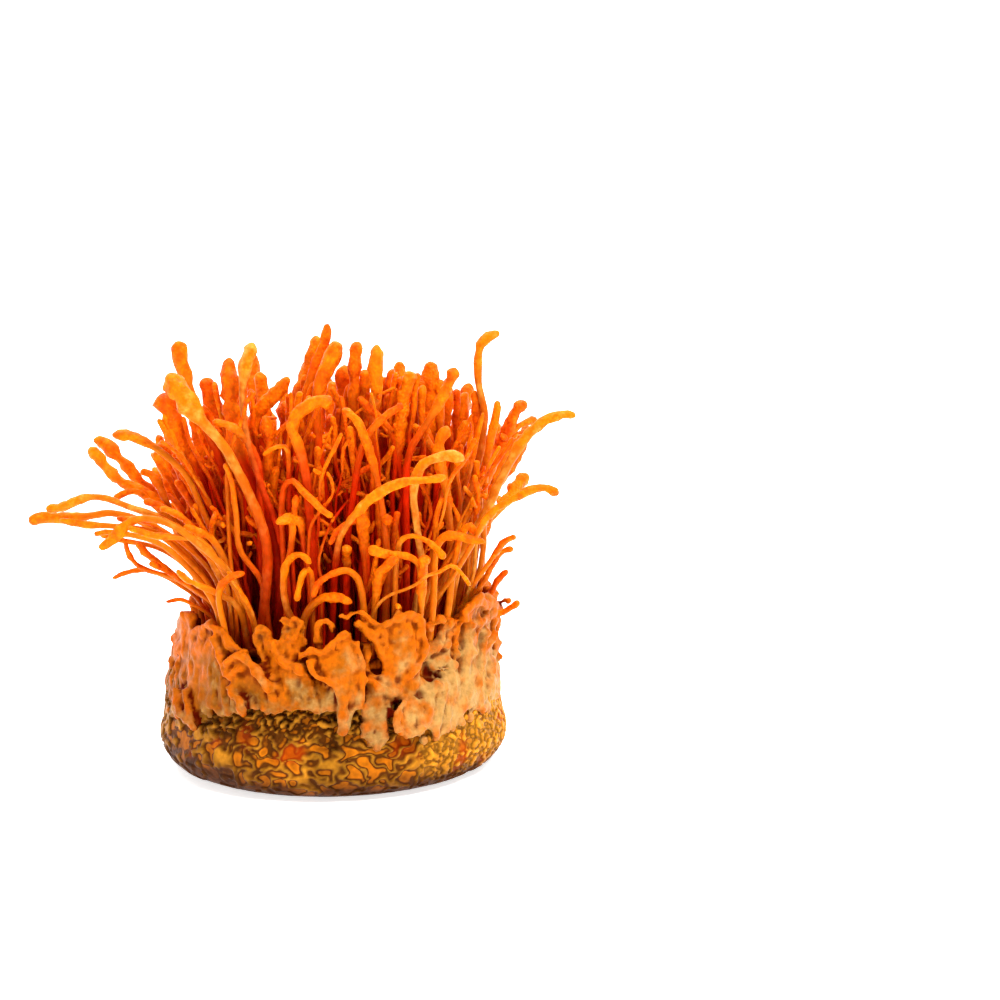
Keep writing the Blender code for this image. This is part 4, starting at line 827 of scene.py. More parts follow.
class Stalk:
    """One stalk to be fleshed out: its route from root to tip, its stem and club radius and its traits."""

    def __init__(self, route, stem, club, chance, head=13.0):
        self.route = np.array(route, float)
        self.stem = stem
        self.club = club
        self.length = np.linalg.norm(np.diff(self.route, axis=0), axis=1).sum()
        self.club_from = max(0.3, 1 - head * chance.uniform(0.65, 1.35) / self.length)
        self.tone = chance.uniform(-0.25, 0.55)
        self.turn = chance.uniform(0, 2 * math.pi)
        self.oval = chance.uniform(0.04, 0.18)
        self.blunt = chance.uniform(0.9, 1.7)
        self.seed = chance.uniform(0, 90)

    def waver(self, amount):
        """Makes the route sway from side to side, more towards its tip, and returns the stalk."""
        shares = np.linspace(0, 1, max(8, int(self.length / 3)))
        line = smooth_line(self.route, shares)
        for k, share in enumerate(shares):
            run = share * self.length
            sway = 0.75 * noise.noise_vector((run / 11, self.seed, 1))
            sway += 0.35 * noise.noise_vector((run / 4.5, 5, self.seed))
            line[k] += np.array(sway) * amount * min(1, 4 * share) * (0.6 + 0.4 * share)
        self.route = line
        return self

    def twigs(self, count, chance, longest=9.0):
        """Small side shoots and knobs that grow from the upper part."""
        found = []
        for _ in range(count):
            share = chance.uniform(max(0.35, self.club_from - 0.2), 0.88)
            base, next_spot = smooth_line(self.route, [share, min(1, share + 0.03)])
            ahead = (next_spot - base) / max(np.linalg.norm(next_spot - base), 1e-6)
            side = np.cross(ahead, chance.uniform(-1, 1, 3))
            side /= max(np.linalg.norm(side), 1e-6)
            reach = chance.uniform(1.4, 3.0) if chance.uniform(0, 1) < 0.5 else chance.uniform(3.0, 9.0)
            width = min(self.club * 0.75, chance.uniform(0.7, 1.2))
            reach = min(reach, 7 * width, longest)
            lean = chance.uniform(0.2, 1.2)
            middle = base + (side + ahead * lean * 0.5) * reach * 0.5
            tip = middle + (side * 0.6 + ahead * lean) * reach * 0.6
            found.append(Stalk([base, middle, tip], width * 0.8, width, chance, head=reach))
        return found


def in_order(verts):
    """Vertices in the order of the mesh, because a set of them has none that lasts."""
    return sorted(verts, key=lambda vert: vert.index)


def neighbours(verts):
    """The vertices at the far ends of all the edges of these."""
    return {edge.other_vert(vert) for vert in verts for edge in vert.link_edges}


def joined_parts(layer):
    """The connected groups of a layer of vertices."""
    left = set(layer)
    groups = []
    for start in in_order(layer):
        if start not in left:
            continue
        left.discard(start)
        group = {start}
        fresh = group
        while fresh:
            fresh = neighbours(fresh) & left
            left -= fresh
            group = group | fresh
        groups.append(group)
    return groups


def node_chains(node):
    """Every stalk of a CAD node, as its ring centres and ring radii from root to tip, in millimetres."""
    bm = bmesh.new()
    bm.from_mesh(node.data)
    bmesh.ops.remove_doubles(bm, verts=bm.verts, dist=1e-6)
    bm.verts.index_update()
    floor = min(vert.co.z for vert in bm.verts)
    layer = {vert for vert in bm.verts if vert.co.z < floor + 0.05 * MM}
    seen = set(layer)
    chains = [([np.mean([vert.co for vert in in_order(layer)], axis=0) / MM], [None], layer)]
    open_chains = [(chains[0], layer)]
    done = []
    while open_chains:
        grown = []
        reached = neighbours([vert for _, ring in open_chains for vert in ring]) - seen
        seen |= reached
        rings = joined_parts(reached)
        for (centres, radii, _), below in open_chains:
            above = [ring for ring in rings if neighbours(ring) & below]
            if not above:
                done.append((np.array(centres), radii))
            for ring in above:
                spots = np.array([vert.co for vert in in_order(ring)]) / MM
                middle = spots.mean(axis=0)
                size = np.linalg.norm(spots - middle, axis=1).mean()
                base = list(centres)
                if len(below) > 6:
                    feet = [vert.co for vert in in_order(neighbours(ring) & below)]
                    base = [np.mean(feet, axis=0) / MM]
                    radii = [size]
                grown.append(((base + [middle], list(radii) + [size], ring), ring))
        open_chains = grown
    bm.free()
    for centres, radii in done:
        if radii[0] is None:
            radii[0] = radii[1]
    return [(centres, np.array(radii, float)) for centres, radii in done if len(centres) > 3]


def stalk_blank(sides, rings):
    """A closed tube along Z, one unit wide and rings high, to be laid along a route."""
    bm = bmesh.new()
    bmesh.ops.create_circle(bm, cap_ends=True, segments=sides, radius=1.0)
    bmesh.ops.reverse_faces(bm, faces=bm.faces[:])
    face = bm.faces[:][0]
    for step in range(1, rings):
        grown = bmesh.ops.extrude_face_region(bm, geom=[face])["geom"]
        lifted = [item for item in grown if isinstance(item, bmesh.types.BMVert)]
        bmesh.ops.translate(bm, verts=lifted, vec=(0, 0, 1))
        if step > 1:
            bm.faces.remove(face)
        face = next(item for item in grown if isinstance(item, bmesh.types.BMFace))
    bmesh.ops.recalc_face_normals(bm, faces=bm.faces[:])
    return as_mesh(bm, "stalk_blank")


def lay_stalk(blank, rings, stalk):
    """The blank's vertices laid along a stalk's route, with each one's painted shade for lying deep in the
    bunch, less over the club, and its share of club.
    """
    length = np.linalg.norm(np.diff(stalk.route, axis=0), axis=1).sum()
    tip = min(0.3, stalk.blunt * stalk.club / length)
    shares = np.concatenate([
        np.linspace(0, 1 - tip, rings - TIP_RINGS, endpoint=False),
        1 - tip + tip * np.sin(np.linspace(0, math.pi / 2, TIP_RINGS)),
    ])
    centres = smooth_line(stalk.route, shares)
    club = smooth_step(stalk.club_from - min(0.2, 6 / length), stalk.club_from, shares)
    radii = CORE_SHARE * (stalk.stem * (1 - club) + stalk.club * club)
    beads = np.array([noise.noise((share * length / 2.8, stalk.seed, 7)) for share in shares])
    radii *= 1 + beads * (0.12 + 0.26 * club)
    radii *= 1 + 0.3 * (1 - smooth_step(0, 0.12, shares))
    into_tip = np.clip((shares - (1 - tip)) / tip, 0, 1)
    radii *= np.sqrt(np.maximum(1 - into_tip**2, 0.006))

    ahead = np.gradient(centres, axis=0)
    ahead /= np.linalg.norm(ahead, axis=1)[:, None]
    side = np.cross(ahead[0], (0.3, 0.2, 1.0) if abs(ahead[0][2]) < 0.9 else (0, 1, 0))
    sides, ups = [], []
    for way in ahead:
        side = side - way * (side @ way)
        side /= np.linalg.norm(side)
        sides.append(side)
        ups.append(np.cross(way, side))
    sides, ups = np.array(sides), np.array(ups)

    ring = np.rint(blank[:, 2]).astype(int)
    angle = np.arctan2(blank[:, 1], blank[:, 0])
    oval = 1 + stalk.oval * np.cos(2 * angle + stalk.turn + 3 * shares[ring])
    flat = centres[ring] + sides[ring] * (np.cos(angle) * radii[ring] * oval)[:, None]
    flat = flat + ups[ring] * (np.sin(angle) * radii[ring] * oval)[:, None]
    lumps = np.array([
        0.55 * noise.noise(Vector(spot) / 2.2) + 0.45 * noise.noise(Vector(spot) / 1.0) for spot in flat
    ])
    swell = 1 + lumps * (0.12 + 0.40 * club[ring])
    spots = centres[ring] + (flat - centres[ring]) * swell[:, None]
    return spots, (depth_in_bunch(centres) * (1 - 0.7 * club))[ring], club[ring]


def depth_in_bunch(spots):
    """How much painted shade each spot takes, from 0 to 1: more the deeper in the bunch it lies, and low
    among the stems. The bunch is a bowl, steepest at the front.
    """
    across = np.hypot(spots[:, 0], spots[:, 1])
    facing = np.clip(-spots[:, 1] / np.maximum(across, 1e-6), 0, 1)
    height = spots[:, 2]
    bowl = FLOOR_RADIUS + (0.25 - 0.22 * facing) * (height - 30)
    inside = smooth_step(-0.5, 7.5, bowl - across) * smooth_step(106, 72, height)
    foot = 0.85 * smooth_step(50, 34, height) * smooth_step(-2, 4, bowl - across)
    return np.maximum(inside, foot)


def grow_mesh(name, *groups):
    """One mesh, in metres, of groups of stalks, each with the sides and rings that its stalks have."""
    bm = bmesh.new()
    laid = []
    for stalks, (sides, rings) in groups:
        blank = stalk_blank(sides, rings)
        flat = np.empty(len(blank.vertices) * 3)
        blank.vertices.foreach_get("co", flat)
        for stalk in stalks:
            bm.from_mesh(blank)
            laid.append((*lay_stalk(flat.reshape(-1, 3), rings, stalk), stalk.tone))
        bpy.data.meshes.remove(blank)
    mesh = as_mesh(bm, name)
    # deep holds each vertex's painted shade, for lying inside the bunch.
    spots, deep, club, tone = zip(*laid)
    mesh.vertices.foreach_set("co", (np.vstack(spots) * MM).ravel())
    tone = np.repeat(tone, [len(row) for row in deep])
    mark(mesh, deep=np.concatenate(deep), club=np.concatenate(club), tone=tone)
    mesh.update()
    return mesh


def node_stalks(name, chance):
    """The stalks of one CAD node, ready to be fleshed out."""
    stalks = [
        Stalk(centres, radii[2] * 0.95, radii[len(radii) * 3 // 4] * CLUB_SWELL, chance)
        for centres, radii in node_chains(NODES[name])
    ]
    if name in BACK_REACH:
        stalks[0].route = smooth_line(stalks[0].route, np.linspace(0, BACK_REACH[name], 20))
    if name in CLEAR_SHAPES:
        stem, club, head, tone = CLEAR_SHAPES[name]
        stalks[0].stem, stalks[0].club, stalks[0].tone = stem, club, tone
        stalks[0].club_from = 1 - head / stalks[0].length
    return stalks


def cad_names(start):
    """Names of the CAD nodes that begin so, in order."""
    return sorted(name for name in NODES if name.startswith(start))


def all_cad_routes():
    """Routes of every stalk of the CAD, with its club radius."""
    found = []
    for name in cad_names("stalk_") + cad_names("tuft_"):
        found += [(centres, radii.max()) for centres, radii in node_chains(NODES[name])]
    return found


class GrowSingleStalks(Operator):
    """Flesh out each stalk that stands by itself"""

    bl_idname = "cordyceps.grow_single_stalks"
    bl_label = "Grow Single Stalks"

    def execute(self, context):
        chance = np.random.default_rng(SEED)
        for name in cad_names("stalk_"):
            clear = name in CLEAR_SHAPES
            stalks = [stalk.waver(0.6 if clear else 1.2) for stalk in node_stalks(name, chance)]
            shoots = [] if clear else stalks[0].twigs(chance.integers(0, 3), chance, longest=3.0)
            mesh = grow_mesh(name, (stalks, SINGLE_TUBE), (shoots, SINGLE_SHOOT_TUBE))
            finish_piece(name.replace("stalk_", "fleshed_"), mesh, fruiting_flesh, [name])
        return {"FINISHED"}


class GrowTufts(Operator):
    """Flesh out the tufts, each with its shared foot"""

    bl_idname = "cordyceps.grow_tufts"
    bl_label = "Grow Tufts"

    def execute(self, context):
        chance = np.random.default_rng(SEED + 1)
        for name in cad_names("tuft_"):
            stalks = node_stalks(name, chance)
            foot = np.mean([stalk.route[0] for stalk in stalks], axis=0)
            for stalk in stalks:
                stalk.route[0] = foot + (stalk.route[0] - foot) * 0.8 - (0, 0, 1.8)
                stalk.waver(1.4)
            shoots = [shoot for stalk in stalks for shoot in stalk.twigs(chance.integers(0, 2), chance)]
            mesh = grow_mesh(name, (stalks, TUFT_TUBE), (shoots, TUFT_SHOOT_TUBE))
            finish_piece("fleshed_" + name, mesh, fruiting_flesh, [name])
        return {"FINISHED"}


def scatter_roots(count, spacing, taken, chance):
    """Root places on the floor, spaced from each other and from those already taken."""
    spots = np.array([place[:2] for place in taken])
    start = len(spots)
    for _ in range(count * 60):
        if len(spots) == start + count:
            break
        radius = FLOOR_RADIUS * math.sqrt(chance.uniform(0, 1))
        bearing = chance.uniform(0, 2 * math.pi)
        place = np.array((radius * math.sin(bearing), -radius * math.cos(bearing)))
        if np.hypot(*(spots - place).T).min() >= spacing * 0.8:
            spots = np.vstack([spots, place])
    return spots[start:]


def combed_route(root, routes, chance):
    """A route that runs with the main stalks round it, shorter than they are and with a sway of its own."""
    starts = np.array([centres[0][:2] for centres, _ in routes])
    distance = np.hypot(*(starts - root).T)
    nearest = np.argsort(distance)[:5]
    weight = 1 / (distance[nearest] ** 2 + 6) ** 1.5
    weight /= weight.sum()
    shares = np.linspace(0, 1, 11)
    shape = sum(
        w * (smooth_line(routes[k][0], shares) - routes[k][0][0]) for w, k in zip(weight, nearest)
    )
    front = smooth_step(8, 30, -root[1])
    reach = 1.0 - 0.10 * front - 0.38 * chance.uniform(0, 1) ** (1.8 - 0.8 * front)
    line = np.array([*root, FLOOR_HEIGHT]) + shape * (1 + 0.07 * (1 - front) * chance.uniform(0, 1))
    line = smooth_line(line, shares * reach)
    sway = chance.uniform(-1, 1, (3, 2))
    for k, share in enumerate(shares):
        push = sway[0] * share * 3.2 + sway[1] * math.sin(3.1 * share) * 2.0
        line[k, :2] += push + sway[2] * math.sin(6.2 * share) * 1.1
    return line


def part_routes(moving, radii, fixed, rounds):
    """Pushes the moving routes off each other and off the fixed ones, and keeps their roots in place."""
    still, still_size = [], []
    for centres, radius in fixed:
        dense = smooth_line(centres, np.linspace(0, 1, 26))
        still.append(dense)
        still_size += [radius * 0.9] * len(dense)
    still = np.vstack(still)
    still_size = np.array(still_size)
    count = moving.shape[1]
    owner = np.repeat(np.arange(len(moving)), count)
    size = np.repeat(radii, count)
    grip = np.tile(np.clip(np.arange(count) / 3, 0, 1), len(moving))
    tree = tree_of(still)
    for turn in range(rounds):
        spots = moving.reshape(-1, 3)
        if turn % 4 == 0:
            own = tree_of(spots)
            pairs, posts = [], []
            for k, spot in enumerate(spots):
                pairs += [(k, other) for _, other, _ in own.find_range(spot, 4.6) if owner[other] > owner[k]]
                posts += [(k, other) for _, other, _ in tree.find_range(spot, 5.0)]
            pairs, posts = np.array(pairs).reshape(-1, 2), np.array(posts).reshape(-1, 2)
        move = np.zeros_like(spots)
        for links, other_spots, other_size, both in (
            (pairs, spots, size, True), (posts, still, still_size, False),
        ):
            one, two = links.T
            gap = spots[one] - other_spots[two]
            distance = np.maximum(np.linalg.norm(gap, axis=1), 1e-6)
            short = np.maximum(size[one] + other_size[two] + 0.15 - distance, 0)
            push = gap / distance[:, None] * short[:, None] * (0.35 if both else 0.6)
            np.add.at(move, one, push)
            if both:
                np.add.at(move, two, -push)
        moving = (spots + move * grip[:, None]).reshape(moving.shape)
        smooth = moving.copy()
        smooth[:, 1:-1] = 0.5 * moving[:, 1:-1] + 0.25 * (moving[:, :-2] + moving[:, 2:])
        moving = moving * 0.75 + smooth * 0.25
    return moving


def curl(route, first, angle, axis):
    """Curls a route from one of its points on, by this angle in all, about this axis."""
    steps = np.diff(route, axis=0)
    for k in range(first, len(steps)):
        turn = Matrix.Rotation(angle * (k + 1 - first) / (len(steps) - first), 3, Vector(axis))
        steps[k] = turn @ Vector(steps[k])
    return np.vstack([route[0], route[0] + np.cumsum(steps, axis=0)])


def hides(route, clear):
    """Whether a route passes in front of any of these spots, as they are seen."""
    seen = as_seen(smooth_line(route, np.linspace(0.1, 1, 30)))
    gap = np.hypot(seen[:, None, 0] - clear[None, :, 0], seen[:, None, 1] - clear[None, :, 1])
    return bool(np.any((gap < 1.1) & (seen[:, None, 2] < clear[None, :, 2])))


def strays(route):
    """Whether a thin route leaves the outline that the bunch has from the front."""
    across, up, _ = as_seen(route).T
    left = (across < LEFT_EDGE) & (up < LEFT_EDGE_TOP)
    right = (across > RIGHT_EDGE) & (up < RIGHT_EDGE_TOP)
    return bool(np.any(left | right) or up.max() > CANOPY_TOP)


def clear_spots():
    """Spots all along the stalks that are seen best, as they are seen."""
    routes = [node_chains(NODES[name])[0][0] for name in CLEAR_SHAPES]
    routes += [sprig_route(row) for row in FRONT_SPRIGS]
    spots = np.vstack([smooth_line(route, np.linspace(0.15, 1, 40)) for route in routes])
    return as_seen(spots[(spots[:, 1] < -22) | (np.abs(spots[:, 0]) > 40)])


def sprig_route(row):
    """The route of a front sprig from the floor to its tip."""
    seen, behind_root, behind_tip = row[:3]
    depths = np.linspace(behind_root, behind_tip, len(seen))
    route = [along_sight(across, up, depth) for (across, up), depth in zip(seen, depths)]
    root = (route[0][0] * 0.92, max(route[0][1] + 3.0, -29.0), FLOOR_HEIGHT)
    return np.array([root, *route])


def keep_above_frills(route):
    """Lifts what passes out over the frills clear of them."""
    for spot in route:
        if math.hypot(spot[0], spot[1]) > FRILL_RADIUS:
            spot[2] = max(spot[2], FRILL_TOP)
    return route


def sector_of(spot):
    """Which of the equal sectors round the axis a place lies in."""
    return int((math.degrees(math.atan2(spot[0], -spot[1])) % 360) * SECTORS / 360)


class GrowThinStalks(Operator):
    """Fill the bunch with thin stalks that run between the main ones"""

    bl_idname = "cordyceps.grow_thin_stalks"
    bl_label = "Grow Thin Stalks"

    def execute(self, context):
        ui = context.scene.cordyceps_stalks
        chance = np.random.default_rng(SEED + 2)
        main = all_cad_routes()
        roots = scatter_roots(ui.thin_stalks, ui.spacing / MM, [centres[0] for centres, _ in main], chance)
        routes = np.array([combed_route(root, main, chance) for root in roots])
        near = smooth_step(5, 22, -roots[:, 1])
        clubs = (0.7 - 0.2 * near + 0.7 * chance.uniform(0, 1, len(routes))) * (1 - 0.28 * near)
        routes = part_routes(routes, clubs * 0.85, main, rounds=28)
        clear = clear_spots()
        stalks, shoots = [], []
        for route, club in zip(routes, clubs):
            front = route[0][1] < -6
            if chance.uniform(0, 1) < (0.5 if front else 0.2):
                route = curl(route, chance.integers(4, 8), chance.uniform(0.6, 2.2), chance.uniform(-1, 1, 3))
            stalk = Stalk(keep_above_frills(route), club * 0.7, club, chance, head=9.0).waver(2.0)
            twigs = stalk.twigs(chance.integers(0, 3 if front else 5), chance, longest=6.0)
            if not hides(stalk.route, clear) and not strays(stalk.route):
                stalks.append(stalk)
                shoots += [twig for twig in twigs if not hides(twig.route, clear)]
        for sector in range(SECTORS):
            groups = [
                ([stalk for stalk in grown if sector_of(stalk.route[0]) == sector], tube)
                for grown, tube in ((stalks, THIN_TUBE), (shoots, THIN_SHOOT_TUBE))
            ]
            mesh = grow_mesh(f"thin_stalks_{sector + 1}", *groups)
            finish_piece(mesh.name, mesh, fruiting_flesh)
        return {"FINISHED"}


class GrowFrontSprigs(Operator):
    """Add the small bent stalks, stubs and hairs that show at the front"""

    bl_idname = "cordyceps.grow_front_sprigs"
    bl_label = "Grow Front Sprigs"

    def execute(self, context):
        chance = np.random.default_rng(SEED + 3)
        stalks = []
        for row in FRONT_SPRIGS:
            stem, club = row[3:]
            stalks.append(Stalk(sprig_route(row), stem, club, chance, head=7.0).waver(0.5))
        mesh = grow_mesh("front_sprigs", (stalks, TUFT_TUBE))
        finish_piece(mesh.name, mesh, fruiting_flesh)
        return {"FINISHED"}


def wall_radius(height):
    """Radius of the mycelium's wall at a height: upright over the block, then leaning in."""
    return 42.4 - 3.8 * smooth_step(16, 33, height) - 0.1 * np.maximum(0, 17 - height)


def on_wall(across, up, out):
    """The place this far out from the front of the wall that is seen at across and up on the near plane."""
    ray = np.array((across, NEAR_PLANE, up)) - EYE
    reach = 1.0
    for _ in range(5):
        radius = float(wall_radius(EYE.z + ray[2] * reach)) + out
        a, b = ray[:2] @ ray[:2], np.array(EYE[:2]) @ ray[:2]
        spread = b * b - a * (EYE.xy.length_squared - radius * radius)
        reach = (-b - math.sqrt(max(spread, 0.0))) / a
    return np.array(EYE) + ray * reach


def at_left(bearing):
    """1 on the left side and round to the front, 0 before it, where the frills are low and lie close."""
    return float(smooth_step(225, 265, bearing))


def ruled_frill(bearing, half_width, hem, top, chance):
    """The ribs of one frill of the sides and back, and of its rim, in the manner of the front ones."""
    ribs = []
    folds = chance.uniform(0.8, 1.6)
    start = chance.uniform(0, 6.3)
    left = at_left(bearing)
    for side in np.linspace(-1, 1, 6):
        crest = top - 0.24 * (top - hem) * abs(side) ** 2.5 + chance.uniform(-1.6, 1.6)
        foot = hem + chance.uniform(-1.2, 1.2)
        fold = 1.5 * math.cos(math.pi * folds * side + start)
        ribs.append([
            at_bearing(
                bearing + side * half_width * (0.75 + 0.3 * share) + 2 * share * math.sin(start),
                float(wall_radius(foot + (crest - foot) * share)) + out, foot + (crest - foot) * share,
            )
            for share, out in (
                (0.0, -0.5), (0.35, -0.3 + 0.5 * fold), (0.7, 0.2 + 0.7 * fold - left),
                (1.0, 1.4 + 1.0 * fold - 2 * left),
            )
        ])
    return ribs


def ruled_frills(chance):
    """Frills for the sides and back, in two loose layers."""
    frills = []
    for drop, bearing, step in FRILL_LAYERS:
        while bearing < LAST_BEARING:
            hem = chance.uniform(15, 20)
            top = chance.uniform(37, 44) - drop - 6 * at_left(bearing)
            frills.append(ruled_frill(bearing, chance.uniform(6.5, 10), hem, top, chance))
            bearing += step * chance.uniform(0.75, 1.15)
    return frills


def add_sheet(bm, ribs, thickness):
    """Adds a sheet of this thickness, in millimetres, that passes smoothly through the ribs."""
    rows, columns = SHEET_ROWS, COLUMNS_A_RIB * (len(ribs) - 1)
    along = [smooth_line(rib, np.linspace(0, 1, rows)) for rib in ribs]
    across = np.linspace(0, 1, columns)
    lines = np.array([smooth_line([rib[row] for rib in along], across) for row in range(rows)])
    start = lines[0][0][0]
    sheet = bmesh.new()
    bmesh.ops.create_grid(sheet, x_segments=columns - 1, y_segments=rows - 1, size=0.5)
    for vert in sheet.verts:
        column = round((vert.co.x + 0.5) * (columns - 1))
        row = round((vert.co.y + 0.5) * (rows - 1))
        pleat = 0.8 * noise.noise((0.55 * column, 0.11 * row, start))
        ragged = 2.0 * noise.noise((0.6 * column, 3.0, start)) * (1 - row / rows) ** 2
        spot = lines[row][column] + (0, 0, ragged)
        vert.co = spot + outward(spot) * pleat
    sheet.normal_update()
    inner = {}
    for vert in sheet.verts:
        face_out = vert.normal if vert.normal.dot((vert.co.x, vert.co.y, 0)) > 0 else -vert.normal
        inner[vert.co.copy().freeze()] = vert.co - face_out * thickness
    grown = bmesh.ops.extrude_face_region(sheet, geom=sheet.faces[:])["geom"]
    for item in grown:
        if isinstance(item, bmesh.types.BMVert):
            item.co = inner[item.co.copy().freeze()]
    bmesh.ops.recalc_face_normals(sheet, faces=sheet.faces[:])
    take_in(bm, as_mesh(sheet, "sheet"))


def ridge(route, start, end, chance):
    """A rolled edge or fold along a route, as a stalk that is as thick at its start as at its end."""
    stroke = Stalk(route, start, end, chance)
    stroke.club_from = 0.6
    stroke.blunt = 1.2
    return stroke


class GrowFrills(Operator):
    """Fuse the mycelium's wall, frills, ridges and knobs into one crown round the block"""

    bl_idname = "cordyceps.grow_frills"
    bl_label = "Grow Frills"

    def execute(self, context):
        chance = np.random.default_rng(SEED + 4)
        rough, rims = self.lay_parts(context, chance)
        crown = self.fuse(context, rough)
        self.pucker(crown, rims)
        finish_piece("frill_crown", crown, frilled_mycelium, ["mycelium_mat"])
        return {"FINISHED"}

    def lay_parts(self, context, chance):
        """The wall, frills, ridges and knobs as one rough mesh in metres, and spots along the rims."""
        ui = context.scene.cordyceps_mycelium
        bm = lathe([*WALL_OUTLINE, WALL_OUTLINE[0]], steps=240)
        strokes = []
        for frill in FRONT_FRILLS:
            add_sheet(bm, [[on_wall(*spot) for spot in rib] for rib in frill], ui.thickness / MM)
        for route, start, end in FRONT_RIDGES:
            strokes.append(ridge([on_wall(*spot) for spot in route], start, end, chance))
        for frill in ruled_frills(chance):
            add_sheet(bm, frill, ui.thickness / MM)
            rim = [rib[-1] for rib in frill]
            strokes.append(ridge(rim, chance.uniform(0.8, 1.3), chance.uniform(0.8, 1.3), chance))
        rims = np.vstack([smooth_line(stroke.route, np.linspace(0, 1, 30)) for stroke in strokes])

        knobs = [(on_wall(across, up, out - KNOB_DEPTH), radius) for across, up, out, radius in FRONT_KNOBS]
        first, last = FRONT_BEARINGS
        for _ in range(LOOSE_KNOBS):
            front = chance.uniform(0, 1) < 0.2
            bearing = chance.uniform(first, last) if front else chance.uniform(last, first + 360)
            height = chance.uniform(24, 36) if front else 14.5 + 19 * chance.uniform(0, 1) ** 1.4
            out = chance.uniform(-2.0, -0.2) if front else chance.uniform(-2.0, 0.3)
            spot = at_bearing(bearing, float(wall_radius(height)) + out, height)
            knobs.append((np.array(spot), chance.uniform(0.7, 1.5)))
        for spot, radius in knobs:
            way = -outward(spot) + chance.uniform(-0.7, 0.7, 3)
            strokes.append(ridge([spot + way * 2.4, spot + way * 1.2, spot], radius * 0.8, radius, chance))
        bmesh.ops.scale(bm, vec=(MM, MM, MM), verts=bm.verts)
        take_in(bm, grow_mesh("frill_strokes", (strokes, RIDGE_TUBE)))
        return as_mesh(bm, "frill_parts"), rims

    def fuse(self, context, rough):
        """The parts fused in cells and softened, because the frills are one growth with round rims."""
        block = bpy.data.objects.new("frill_parts", rough)
        context.scene.collection.objects.link(block)
        fuse = block.modifiers.new("fuse", "REMESH")
        fuse.mode = "VOXEL"
        fuse.voxel_size = context.scene.cordyceps_mycelium.voxel
        soften = block.modifiers.new("soften", "SMOOTH")
        soften.factor = 0.5
        soften.iterations = 1
        fused = bpy.data.meshes.new_from_object(block.evaluated_get(context.evaluated_depsgraph_get()))
        bpy.data.objects.remove(block)
        bpy.data.meshes.remove(rough)
        fused.name = "frill_crown"
        fused.materials.clear()

        # A knob that touches nothing is dropped.
        bm = bmesh.new()
        bm.from_mesh(fused)
        parts = sorted(joined_parts(bm.verts), key=len)
        bmesh.ops.delete(bm, geom=[vert for part in parts[:-1] for vert in part], context="VERTS")
        bm.to_mesh(fused)
        bm.free()
        return fused

    def pucker(self, mesh, rims):
        """Puckers the surface, and marks for the material its rims, a painted highlight on bulges and the
        painted shade of its creases.
        """
        count = len(mesh.vertices)
        spots = np.empty(count * 3)
        normals = np.empty(count * 3)
        mesh.vertices.foreach_get("co", spots)
        mesh.vertex_normals.foreach_get("vector", normals)
        spots = spots.reshape(-1, 3) / MM
        normals = normals.reshape(-1, 3)
        wide = np.array([noise.noise(Vector(spot) / 3.0) for spot in spots])
        tight = np.array([noise.noise(Vector(spot) / 1.2 + Vector((9, 4, 2))) for spot in spots])
        tall = np.array((3.0, 3.0, 12.0))
        fold = np.array([
            abs(noise.noise(Vector(spot / tall) + 0.35 * noise.noise_vector(spot / 5))) for spot in spots
        ])
        fold = smooth_step(0.13, 0.0, fold) * smooth_step(-0.2, 0.1, wide)
        knobby = np.array([noise.voronoi(Vector(spot / 1.9))[0][0] for spot in spots])
        knobby = (0.45 - knobby) * (0.15 + 0.6 * smooth_step(32, 44, spots[:, 2]))
        spots += normals * (0.6 * wide + 0.14 * tight - 0.25 * fold + 0.5 * knobby)[:, None]

        # Painted shade: darker where the flesh lies sunk behind the crests round about, on the frills' inner
        # faces, along folds, between knobs, in hollows and low towards the left, and less at the right, which
        # faces the light.
        inner = smooth_step(37.5, 35.5, np.hypot(spots[:, 0], spots[:, 1]))
        crease = np.maximum(0.9 * smooth_step(1.0, 3.4, self.sunk(spots)), 0.9 * inner) + 0.12 * fold
        tree = tree_of(rims)
        near = np.array([tree.find(spot)[2] for spot in spots])

        # The flesh turns orange towards the top, later where it bends round to the right.
        beside = smooth_step(29, 35, spots[:, 0]) * smooth_step(0, -10, spots[:, 1])
        high = smooth_step(25, 38, spots[:, 2] - 9 * beside)
        edge = smooth_step(3.6, 1.2, near) * (0.35 + 0.65 * high)
        rim = edge * (1 - 0.5 * beside) + 0.55 * high + 0.3 * smooth_step(0, 0.5, wide)
        hollow = self.hollows(mesh, spots, normals)
        crease += 0.2 * smooth_step(0.05, -0.25, knobby) + 0.75 * smooth_step(0.05, 0.4, hollow)
        crease += 0.25 * smooth_step(29, 17, spots[:, 2]) * smooth_step(22, 10, spots[:, 0])
        crease *= 1 - 0.4 * beside
        # Bulges take the rim colour as a painted highlight.
        rim += 0.3 * smooth_step(0.1, 0.5, -hollow)
        mark(mesh, rim=np.clip(rim, 0, 1), crease=np.clip(crease, 0, 1))
        mesh.vertices.foreach_set("co", (spots * MM).ravel())
        mesh.update()

    def sunk(self, spots):
        """How far each vertex lies behind the crests round about it, in millimetres."""
        columns, rows, row_height = 240, 50, 1.2
        radius = np.hypot(spots[:, 0], spots[:, 1])
        bearing = np.degrees(np.arctan2(spots[:, 0], -spots[:, 1])) % 360
        column = (bearing / (360 / columns)).astype(int) % columns
        row = np.clip(spots[:, 2] / row_height, 0, rows - 1).astype(int)
        crest = np.zeros((columns, rows))
        np.maximum.at(crest, (column, row), radius)
        around = [np.roll(crest, step, axis=0) for step in (-2, -1, 0, 1, 2)]
        around += [np.roll(crest, step, axis=1) for step in (-2, -1, 1, 2)]
        return np.mean(np.maximum(around, crest), axis=0)[column, row] - radius

